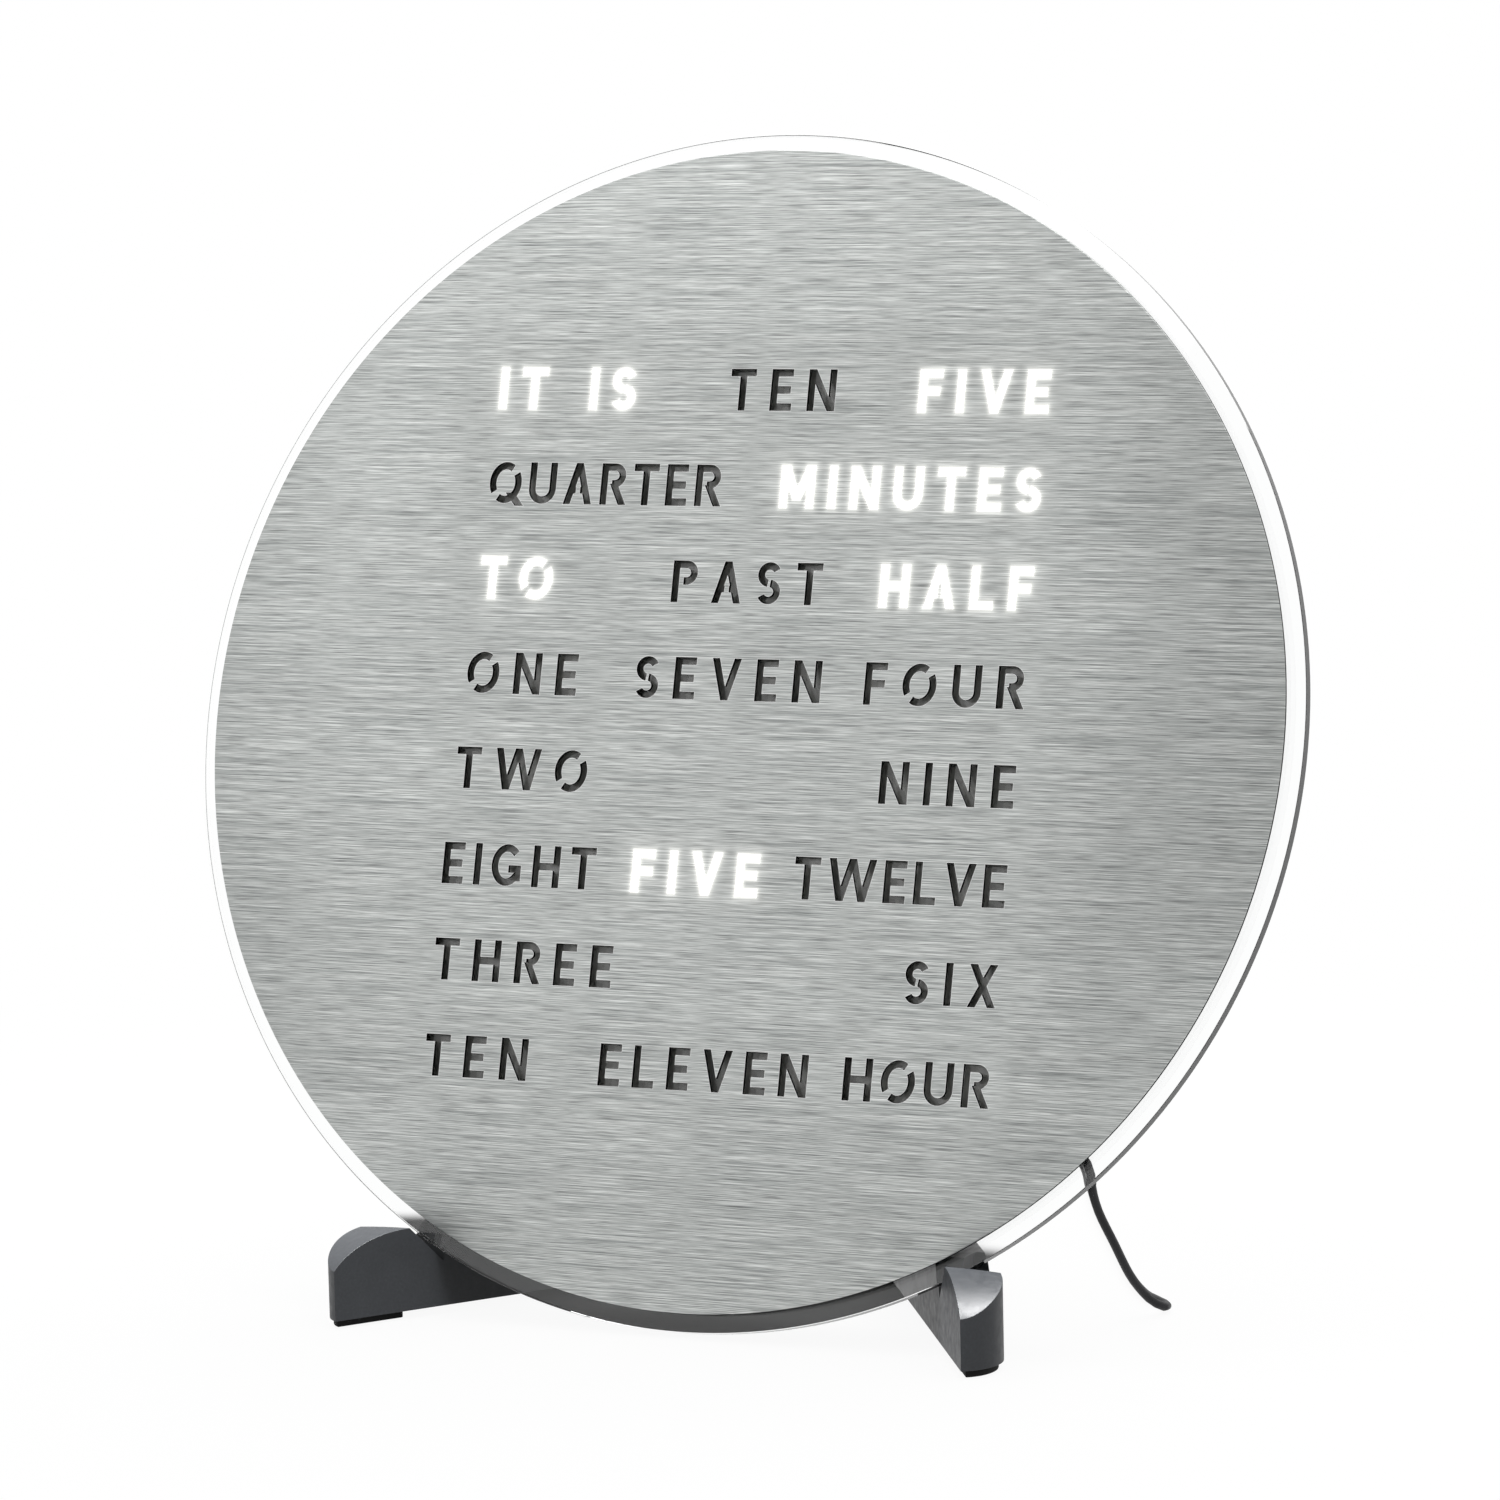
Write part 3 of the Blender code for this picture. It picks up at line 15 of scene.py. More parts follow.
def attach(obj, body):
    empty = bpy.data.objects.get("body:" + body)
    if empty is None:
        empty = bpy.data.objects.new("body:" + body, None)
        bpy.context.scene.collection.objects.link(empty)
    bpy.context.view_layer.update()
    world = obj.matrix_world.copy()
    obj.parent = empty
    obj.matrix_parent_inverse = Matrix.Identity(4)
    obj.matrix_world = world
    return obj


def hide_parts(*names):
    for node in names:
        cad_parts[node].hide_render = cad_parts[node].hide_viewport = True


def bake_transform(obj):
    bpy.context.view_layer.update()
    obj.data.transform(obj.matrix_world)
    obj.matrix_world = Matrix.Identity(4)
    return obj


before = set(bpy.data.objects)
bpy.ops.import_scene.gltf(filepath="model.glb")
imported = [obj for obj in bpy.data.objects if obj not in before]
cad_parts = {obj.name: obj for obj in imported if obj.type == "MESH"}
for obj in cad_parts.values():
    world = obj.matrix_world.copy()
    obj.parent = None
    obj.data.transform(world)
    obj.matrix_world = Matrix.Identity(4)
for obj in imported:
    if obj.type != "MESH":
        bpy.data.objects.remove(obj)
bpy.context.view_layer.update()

# Sizes of the clock's head, as in the CAD source
GAP = 0.0003
LEAN = math.radians(15.5)
CLEAR_DISC_RADIUS = 0.1506
CLEAR_DISC_CHAMFER = 0.00015
DIAL_RADIUS = 0.146
DIAL_THICKNESS = 0.001
DIAL_CHAMFER = 0.00025
CLEAR_FRONT = 0.00208  # 0.08 mm off the mask, so that their faces don't share a plane
CLEAR_BACK = 0.005
DIFFUSER_FRONT = 0.0053
DIFFUSER_BACK = 0.0061
WINDOW_MARGIN = 0.003
HOUSING_RADIUS = 0.130
POST_ANGLE = math.radians(39.2)
POST_RADIUS = 0.003
INNER_RADIUS = 0.122
POST_CIRCLE = INNER_RADIUS - 0.0059
HEAD_Y = -0.0099
HEAD_Z = 0.146859
HEAD_MATRIX = Matrix.Translation((0, HEAD_Y, HEAD_Z)) @ Matrix.Rotation(-LEAN, 4, "X")
ROUND_STEPS = 288

# Lettering
LETTERING_REACH = DIAL_RADIUS - 0.0606
LETTERING_DROP = 0.0005
ROW_PITCH = 2 * LETTERING_REACH / 7
CAP_HEIGHT = 0.434 * ROW_PITCH
STROKE_SHARE = 0.18
MOST_TRACKING = 0.4 * CAP_HEIGHT
ARC_CHORD_DEGREES = 9
WORD_ROW_SHARES = [
    [("IT IS", -0.498, -0.166), ("TEN", -0.100, 0.186), ("FIVE", 0.254, 0.534)],
    [("QUARTER", -0.502, -0.058), ("MINUTES", 0.056, 0.534)],
    [("TO", -0.502, -0.269), ("PAST", -0.142, 0.159), ("HALF", 0.247, 0.534)],
    [("ONE", -0.510, -0.268), ("SEVEN", -0.191, 0.171), ("FOUR", 0.233, 0.534)],
    [("TWO", -0.514, -0.260), ("NINE", 0.260, 0.534)],
    [("EIGHT", -0.521, -0.227), ("FIVE", -0.179, 0.103), ("TWELVE", 0.147, 0.534)],
    [("THREE", -0.521, -0.178), ("SIX", 0.340, 0.534)],
    [("TEN", -0.521, -0.233), ("ELEVEN", -0.185, 0.205), ("HOUR", 0.271, 0.534)],
]
LIT = {(0, 0), (0, 2), (1, 1), (2, 0), (2, 2), (5, 1)}

# The glow of a lit word on the steel: (strength, distance at which it fades) twice
GLOW_REACH = 0.007
GLOW_STEP = 0.0006
GLOW_NEAR, GLOW_FAR = (0.62, 0.00042), (0.13, 0.0022)
LIT_COLOUR = (1.0, 0.985, 0.93)

# The painted highlight round an unlit letter: a bright line for light caught on its cut edge
EDGE_HIGHLIGHT_WIDTH, EDGE_HIGHLIGHT_STEP, EDGE_HIGHLIGHT_STRENGTH = 0.00016, 0.0007, 0.75

# Stand
STAND_DEPTH = 0.136
STAND_FRONT = -STAND_DEPTH / 2
STAND_BACK = STAND_DEPTH / 2
FOOT_REACH = 0.0581
MITRE_LENGTH = 0.0022
ARM_CORNER_X = 0.0846
ARM_WIDTH = 0.0124
ARM_ANGLE = math.atan2(ARM_CORNER_X, STAND_DEPTH - MITRE_LENGTH)
ARM_LENGTH = math.hypot(ARM_CORNER_X, STAND_DEPTH - MITRE_LENGTH)
NOSE_PLAN_LENGTH = 0.013
NOSE_LENGTH = 0.0215
NOSE_HALF_LENGTH = 0.024
NOSE_HALF_HEIGHT = 0.01493
NOSE_TOP = 0.021
REAR_TOP = 0.0212
REAR_BLOCK_LENGTH = 0.0285
ARM_SLOPE_LENGTH = 0.033
ARM_SLOPE_HEIGHT = 0.013
ARM_END_HEIGHT = 0.011
FLANK_SLOPE = math.radians(50)
NOTCH_DEPTH = 0.0106
REST_REACH = 0.0738
PAD_THICKNESS = 0.0018
PAD_RECESS = 0.0008
PAD_REACH = 0.020
PAD_INSET = 0.0013
REAR_PAD_RADIUS = 0.0045
REAR_PAD_INSET = 0.0233
BRIDGE_LENGTH = 0.030
BRIDGE_SEAT = 0.008
SCREW_RADIUS = 0.0015
SCREW_REACH = 0.005
BRIDGE_SCREW_INSET = 0.0123
BRIDGE_SCREW_SPACING = 0.020
NOSE_STEPS = 20
ARM_EDGE, PAD_EDGE = 0.00045, 0.0003
BELOW = 0.005  # how far a cutter starts under the table

# Cord
CORD_DIAMETER = 0.0022
CORD_RADIUS = CORD_DIAMETER / 2
CORD_ROUTE = [
    (0.0979, -0.0184, 0.0439), (0.0988, -0.0182, 0.0411), (0.0980, -0.0168, 0.0378),
    (0.0977, -0.0119, 0.0307), (0.0988, -0.0049, 0.0216), (0.0995, 0.0031, 0.0124),
    (0.1004, 0.0098, 0.0065), (0.1018, 0.0136, 0.0033), (0.1034, 0.0172, 0.0015),
    (0.1022, 0.0208, 0.0013), (0.0980, 0.0252, 0.0013), (0.0921, 0.0319, 0.0013),
    (0.0806, 0.0510, 0.0013), (0.0621, 0.0864, 0.0013), (0.0426, 0.1241, 0.0013),
    (0.0272, 0.1563, 0.0013), (0.0186, 0.1750, 0.0016), (0.0121, 0.1860, 0.0021),
]
COIL_CENTRE = Vector((-0.008, 0.180, 0))
COIL_INNER_RADIUS = 0.0085
COIL_RADIAL_PITCH = 0.0031
COIL_LAYER_HEIGHT = 0.0030
COIL_LAYERS = 4
COIL_TURNS = 11 + 1 / 3
COIL_START = math.radians(60)
COIL_BOTTOM = 0.0013
COIL_PITCH_TURNS = (COIL_TURNS - (COIL_LAYERS - 1) / 2) / COIL_LAYERS
COIL_OUTER_RADIUS = COIL_INNER_RADIUS + COIL_RADIAL_PITCH * COIL_PITCH_TURNS
RELIEF_ANGLE = math.radians(-46)
RELIEF_DEPTH = 0.0195
RELIEF_END = HOUSING_RADIUS + GAP + 0.0018 + 0.0060
ROUTE_STEP = 0.0030
ROUTE_FINE_STEPS = 20
COIL_STEPS = 36
RUN_ON_STEPS = 15  # cord diameters that the cord goes on inside the adapter
CORD_SIDES = 12

# Camera, fitted to the photograph
CAMERA_PLACE = (0.6583, -1.3856 + HEAD_Y, 0.1822 + HEAD_Z)
CAMERA_ANGLES = 25.44, 8.374, -1.347
PHOTO_SIZE, FOCAL_PIXELS, SHIFT_PIXELS = 1500, 6223.0, (750 - 730, 900 - 750)
SENSOR_WIDTH = 36

# Light: what the world sends from the sides, from above, and in mirrored rays from the front
SIDE_LIGHT, TOP_LIGHT, FRONT_GLOSS = 0.20, 0.85, 0.70
WINDOW_SIDE, WINDOW_GLOSS = (-0.66, -0.48, 0.58), 1.5
ARM_LIGHT_POWER = 115

# Floor: how white the camera sees it near the clock and far from it, and the painted shadow, dark
# ground behind the clock that shows through the clear disc only
FLOOR_RADIUS, FLOOR_DROP = 8, 0.0002
FLOOR_NEAR, FLOOR_FAR = 0.93, 1.0
SHADOW_REACH, CLEAR_REACH = 0.16, 0.50
SHADE_MIDDLE = (-0.02, 0.05, 0)
GLASS_SHADE_MIDDLE, GLASS_SHADE_REACH = (-0.018, -0.01, 0), (0.084, 0.102)
GLASS_SHADE = 0.95


# Materials: every one is made of noise in the object's own space


def nodes_of(name, values):
    """A new material, its tree, its shader with the values set, and a source of places."""
    made = bpy.data.materials.new(name)
    made.use_nodes = True
    tree = made.node_tree
    shader = tree.nodes["Principled BSDF"]
    for entry, value in values.items():
        shader.inputs[entry].default_value = value
    return made, tree, shader, add(tree, "TexCoord")


def add(tree, kind, **values):
    """A shader node with its inputs and settings."""
    node = tree.nodes.new("ShaderNode" + kind)
    for key, value in values.items():
        if key in node.inputs:
            node.inputs[key].default_value = value
        else:
            setattr(node, key, value)
    return node


def link(tree, source, output, target, entry):
    tree.links.new(source.outputs[output], target.inputs[entry])


def noise(tree, place, scale, detail, roughness=0.55, stretch=None):
    """A noise with grains of about 1 / scale metres, divided by the three factors if given."""
    made = add(tree, "TexNoise", Scale=scale, Detail=detail, Roughness=roughness)
    output = "Object"
    if stretch:
        mapping = add(tree, "Mapping", Scale=stretch)
        link(tree, place, output, mapping, "Vector")
        place, output = mapping, "Vector"
    link(tree, place, output, made, "Vector")
    return made


def ramp(tree, source, output, stops):
    """Colours, or greys given as one number, at places along the source's value."""
    made = add(tree, "ValToRGB")
    elements = made.color_ramp.elements
    while len(elements) < len(stops):
        elements.new(0.5)
    for element, (position, value) in zip(elements, stops):
        element.position = position
        element.color = (*value, 1) if isinstance(value, tuple) else (value, value, value, 1)
    link(tree, source, output, made, "Fac")
    return made


def ramped(tree, source, stops, shader, entry):
    """Makes one of the shader's values follow a noise."""
    link(tree, ramp(tree, source, "Fac", stops), "Color", shader, entry)


def bump(tree, source, output, shader, strength, distance):
    made = add(tree, "Bump", Strength=strength, Distance=distance)
    link(tree, source, output, made, "Height")
    link(tree, made, "Normal", shader, "Normal")


def multiplied(tree, first, second):
    """The product of two colours."""
    made = add(tree, "Mix", data_type="RGBA", blend_type="MULTIPLY", Factor=1.0)
    tree.links.new(first, made.inputs["A"])
    tree.links.new(second, made.inputs["B"])
    return made.outputs["Result"]


def painted(tree, shader, tone, speck):
    colour = multiplied(tree, tone.outputs["Color"], speck.outputs["Color"])
    tree.links.new(colour, shader.inputs["Base Color"])


def shade(colour, factor):
    return tuple(c * factor for c in colour)


def moulded(name, colour, roughness, grain=2600, depth=0.00004, spread=0.25, specular=0.5):
    """Moulded plastic or rubber: a fine grain and slow patches of tone and sheen."""
    made, tree, shader, place = nodes_of(name, {"Specular IOR Level": specular})
    fine = noise(tree, place, grain, 2.0)
    slow = noise(tree, place, 55, 4.0)
    ends = [(0.3, shade(colour, 1 - spread)), (0.7, shade(colour, 1 + spread))]
    tone = ramp(tree, slow, "Fac", ends)
    speck = ramp(tree, fine, "Fac", [(0.35, 0.86), (0.65, 1.0)])
    painted(tree, shader, tone, speck)
    gloss = [(0.3, roughness * 0.88), (0.7, min(1.0, roughness * 1.12))]
    ramped(tree, slow, gloss, shader, "Roughness")
    bump(tree, fine, "Fac", shader, 0.35, depth)
    return made


def turned_metal(name, colour, roughness):
    """Plated small metal parts, with a fine grain and a few dull spots."""
    made, tree, shader, place = nodes_of(name, {"Metallic": 1.0})
    fine = noise(tree, place, 1800, 3.0)
    slow = noise(tree, place, 260, 3.0)
    ramped(tree, slow, [(0.3, shade(colour, 0.8)), (0.7, colour)], shader, "Base Color")
    ramped(tree, fine, [(0.3, roughness * 0.7), (0.7, roughness * 1.4)], shader, "Roughness")
    bump(tree, fine, "Fac", shader, 0.15, 0.00002)
    return made


def brushed_steel(name):
    """Steel brushed from side to side, with the light of the lit words on it."""
    made, tree, shader, place = nodes_of(name, {"Metallic": 0.85, "Emission Strength": 1.0})
    long = noise(tree, place, 1.0, 3.0, 0.6, (26, 26, 3900))
    short = noise(tree, place, 1.0, 2.0, 0.6, (110, 110, 5600))
    band = noise(tree, place, 1.0, 2.0, 0.5, (5, 5, 80))
    dark, middle, light = (0.315, 0.332, 0.326), (0.503, 0.520, 0.509), (0.675, 0.690, 0.675)
    first = ramp(tree, long, "Fac", [(0.36, dark), (0.5, middle), (0.64, light)])
    second = ramp(tree, short, "Fac", [(0.36, 0.58), (0.52, 1.0), (0.66, 1.22)])
    third = ramp(tree, band, "Fac", [(0.35, 0.95), (0.65, 1.03)])
    both = multiplied(tree, first.outputs["Color"], second.outputs["Color"])
    brushed = multiplied(tree, both, third.outputs["Color"])
    # painted highlight: the steel goes near white along the cut edges of the unlit letters, for
    # light caught on them
    edge = add(tree, "Attribute", attribute_name="edge")
    edge_highlight = add(tree, "Mix", data_type="RGBA", B=(0.95, 0.96, 0.95, 1))
    link(tree, edge, "Fac", edge_highlight, "Factor")
    tree.links.new(brushed, edge_highlight.inputs["A"])
    tree.links.new(edge_highlight.outputs["Result"], shader.inputs["Base Color"])
    ramped(tree, long, [(0.3, 0.36), (0.7, 0.48)], shader, "Roughness")
    bump(tree, long, "Fac", shader, 0.10, 0.00003)
    glow = add(tree, "Attribute", attribute_name="glow")
    ramped(tree, glow, [(0.0, 0.0), (1.0, LIT_COLOUR)], shader, "Emission Color")
    return made


def light_sheet(name, colour, strength):
    """Opal sheet with the lights behind it on, in slow patches of slightly different brightness.
    """
    values = {"Emission Strength": strength, "Roughness": 0.5}
    made, tree, shader, place = nodes_of(name, values)
    slow = noise(tree, place, 90, 2.0)
    tone = ramp(tree, slow, "Fac", [(0.3, shade(colour, 0.94)), (0.7, colour)])
    for entry in ("Emission Color", "Base Color"):
        link(tree, tone, "Color", shader, entry)
    return made


def clear_sheet(name):
    """Clear acrylic with polished faces and the faintest haze."""
    values = {"Base Color": (0.985, 0.99, 0.988, 1), "IOR": 1.49, "Transmission Weight": 1.0}
    made, tree, shader, place = nodes_of(name, values)
    fine = noise(tree, place, 180, 2.0)
    ramped(tree, fine, [(0.4, 0.0), (0.75, 0.02)], shader, "Roughness")
    return made


def circuit_board(name):
    """Green solder mask with the tracks under it."""
    made, tree, shader, place = nodes_of(name, {"Roughness": 0.38})
    shape = {"feature": "DISTANCE_TO_EDGE", "distance": "MANHATTAN"}
    tracks = add(tree, "TexVoronoi", **shape, Scale=210)
    link(tree, place, "Object", tracks, "Vector")
    fine = noise(tree, place, 900, 2.0)
    copper, resist = (0.05, 0.26, 0.10), (0.016, 0.13, 0.055)
    line = ramp(tree, tracks, "Distance", [(0.05, copper), (0.09, resist)])
    grain = ramp(tree, fine, "Fac", [(0.3, 0.85), (0.7, 1.0)])
    painted(tree, shader, line, grain)
    bump(tree, tracks, "Distance", shader, 0.2, 0.00005)
    return made


def powder_coat(name, colour, roughness):
    """Satin powder coat on cast metal: a fine orange peel and slow patches of tone."""
    made, tree, shader, place = nodes_of(name, {"Specular IOR Level": 0.30})
    fine = noise(tree, place, 1500, 3.0)
    peel = noise(tree, place, 420, 2.0)
    slow = noise(tree, place, 40, 4.0)
    tone = ramp(tree, slow, "Fac", [(0.3, shade(colour, 0.85)), (0.7, shade(colour, 1.15))])
    speck = ramp(tree, fine, "Fac", [(0.3, 0.80), (0.62, 1.0), (0.78, 1.25)])
    painted(tree, shader, tone, speck)
    ramped(tree, peel, [(0.3, roughness * 0.85), (0.7, roughness * 1.15)], shader, "Roughness")
    bump(tree, peel, "Fac", shader, 0.25, 0.00004)
    return made


# Mesh helpers


def in_scene(name, data):
    made = bpy.data.objects.new(name, data)
    bpy.context.scene.collection.objects.link(made)
    return made


def finish_mesh(name, bm, materials):
    bmesh.ops.recalc_face_normals(bm, faces=bm.faces)
    mesh = bpy.data.meshes.new(name)
    bm.to_mesh(mesh)
    bm.free()
    mesh.shade_smooth()
    mesh.set_sharp_from_angle(angle=math.radians(35))
    for material in materials:
        mesh.materials.append(material)
    return in_scene(name, mesh)


def modified(obj, kind, **values):
    """Makes what a modifier does part of the object's mesh."""
    modifier = obj.modifiers.new(kind, kind)
    for key, value in values.items():
        setattr(modifier, key, value)
    graph = bpy.context.evaluated_depsgraph_get()
    mesh = bpy.data.meshes.new_from_object(obj.evaluated_get(graph))
    obj.modifiers.clear()
    old = obj.data
    obj.data = mesh
    bpy.data.meshes.remove(old)


def boolean(obj, cutter, operation="DIFFERENCE"):
    modified(obj, "BOOLEAN", operation=operation, solver="EXACT", object=cutter)
    bpy.data.objects.remove(cutter)


def weighted(obj):
    """Smooth shading with normals that follow the large faces, so that edges look crisp."""
    obj.data.shade_smooth()
    obj.data.set_sharp_from_angle(angle=math.radians(50))
    modified(obj, "WEIGHTED_NORMAL", keep_sharp=True, weight=50)


def bevelled(obj, width, segments=2, angle=40):
    limit = {"limit_method": "ANGLE", "angle_limit": math.radians(angle)}
    modified(obj, "BEVEL", width=width, segments=segments, **limit)
    weighted(obj)


def circle(x, z, radius, steps):
    angles = (i * (2 * math.pi / steps) for i in range(steps))
    return [(x + radius * math.cos(a), z + radius * math.sin(a)) for a in angles]


def turns_left(outline):
    pairs = zip(outline, outline[1:] + outline[:1])
    return sum(a[0] * b[1] - a[1] * b[0] for a, b in pairs) > 0


def terrace(name, regions, materials, extra=(), outer_wall=None):
    """A solid from flat outlines: (outline, front, back, material number). Later regions replace
    earlier ones, and a region with no front is a hole whose walls take its material."""
    points, outlines = [], []
    for outline, *_ in regions:
        order = list(range(len(points), len(points) + len(outline)))
        outlines.append(order if turns_left(outline) else order[::-1])
        points.extend(Vector(point) for point in outline)
    points.extend(Vector(point) for point in extra)
    places, _, triangles, _, _, owners = delaunay_2d_cdt(points, [], outlines, 1, 1e-8)
    levels, hole_of = {}, {}
    for triangle, owner in zip(triangles, owners):
        top = max(owner)
        _, front, back, number = regions[top]
        if front is None:
            for i in range(3):
                hole_of[(triangle[i], triangle[(i + 1) % 3])] = number
        else:
            levels[tuple(triangle)] = (front, back, number)
    neighbour = {(t[i], t[(i + 1) % 3]): levels[t] for t in levels for i in range(3)}
    bm = bmesh.new()
    made = {}

    def vertex(index, depth):
        key = (index, depth)
        if key not in made:
            made[key] = bm.verts.new((places[index][0], depth, places[index][1]))
        return made[key]

    def face(corners, number):
        bm.faces.new(corners).material_index = number

    def wall(first, second, low, high, number):
        ends = (first, low), (second, low), (second, high), (first, high)
        face([vertex(*end) for end in ends], number)

    for triangle, (front, back, number) in levels.items():
        face([vertex(i, front) for i in triangle], number)
        face([vertex(i, back) for i in reversed(triangle)], number)
        for i in range(3):
            first, second = triangle[i], triangle[(i + 1) % 3]
            beside = neighbour.get((second, first))
            if beside is None:
                edge = hole_of.get((second, first), number if outer_wall is None else outer_wall)
                wall(first, second, front, back, edge)
                continue
            if front < beside[0]:
                wall(first, second, front, beside[0], number)
            if back > beside[1]:
                wall(first, second, beside[1], back, number)
    return finish_mesh(name, bm, materials)


def bridged(bm, rings, steps):
    """Faces from each ring to the next. A ring may be a single point."""
    for before, after in zip(rings, rings[1:]):
        for i in range(steps):
            j = (i + 1) % steps
            corners = [before[i % len(before)], before[j % len(before)]]
            corners += [after[j % len(after)], after[i % len(after)]]
            bm.faces.new(list(dict.fromkeys(corners)))


def turned(name, profile, materials):
    """A round piece from its (radius, depth) profile, about the line through its middle."""
    bm = bmesh.new()
    rings = []
    for radius, depth in profile:
        places = circle(0, 0, radius, ROUND_STEPS) if radius else [(0, 0)]
        rings.append([bm.verts.new((x, depth, z)) for x, z in places])
    bridged(bm, rings, ROUND_STEPS)
    return finish_mesh(name, bm, materials)


def closed(name, bm, first, second, materials):
    """A solid between two rings of as many corners."""
    bm.faces.new(first)
    bm.faces.new(second)
    bridged(bm, [first, second], len(first))
    return finish_mesh(name, bm, materials)


def prism(name, outline, low, high, materials=()):
    """An upright prism."""
    bm = bmesh.new()
    lower, upper = ([bm.verts.new((x, y, z)) for x, y, *_ in outline] for z in (low, high))
    return closed(name, bm, lower, upper, materials)


def side_prism(name, outline, origin, along, across, start, width, materials=()):
    """A lying prism: its outline is given as (distance along, height)."""
    bm = bmesh.new()

    def corner(s, height, offset):
        x, y = (origin[i] + along[i] * s + across[i] * offset for i in (0, 1))
        return bm.verts.new((x, y, origin[2] + height))

    near, far = (
        [corner(s, height, offset) for s, height in outline] for offset in (start, start + width)
    )
    return closed(name, bm, near, far, materials)


def cleaned(mesh, nearest, flattest):
    """Takes out doubled points and edges between faces in one plane."""
    bm = bmesh.new()
    bm.from_mesh(mesh)
    bmesh.ops.remove_doubles(bm, verts=bm.verts, dist=nearest)
    flat = math.radians(flattest)
    bmesh.ops.dissolve_limit(bm, angle_limit=flat, verts=bm.verts, edges=bm.edges)
    bm.to_mesh(mesh)
    bm.free()


def refined(node, name, body, material, width, segments=2):
    """A CAD node's shape with its edges eased, as a piece that stands for it."""
    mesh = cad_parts[node].data.copy()
    mesh.materials.clear()
    cleaned(mesh, 1e-6, 1.0)
    mesh.materials.append(material)
    obj = in_scene(name, mesh)
    bevelled(obj, width, segments)
    return placed(obj, body, node)


def placed(obj, body, node):
    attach(obj, body)
    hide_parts(node)
    return obj


def numbered(stem, count=4):
    return [f"{stem}_{i}" for i in range(1, count + 1)]


def plain(nodes, material):
    """Gives CAD nodes that stay as they are their material."""
    for node in nodes:
        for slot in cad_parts[node].material_slots:
            slot.material = material


def in_head(obj):
    """Sets a piece made in the head's own space where the head is."""
    obj.matrix_world = HEAD_MATRIX
    return obj


def head_to_world(point):
    return HEAD_MATRIX @ Vector(point)


# Lettering, with the same strokes as the CAD source and finer curves


def bar(left, bottom, right, top):
    return [(left, bottom), (right, bottom), (right, top), (left, top)]


def slant(foot, head, reach, bottom=0.0, top=1.0):
    length = math.hypot(head - foot, top - bottom)
    half = reach * length / (top - bottom) / 2
    return [(foot - half, bottom), (foot + half, bottom), (head + half, top), (head - half, top)]


def arc(x, z, outer_x, outer_z, stroke, start, end):
    steps = round(abs(end - start) / ARC_CHORD_DEGREES)
    angles = [math.radians(start + (end - start) * i / steps) for i in range(steps + 1)]

    def curve(reach_x, reach_z):
        return [(x + reach_x * math.cos(a), z + reach_z * math.sin(a)) for a in angles]

    return curve(outer_x, outer_z) + curve(outer_x - stroke, outer_z - stroke)[::-1]


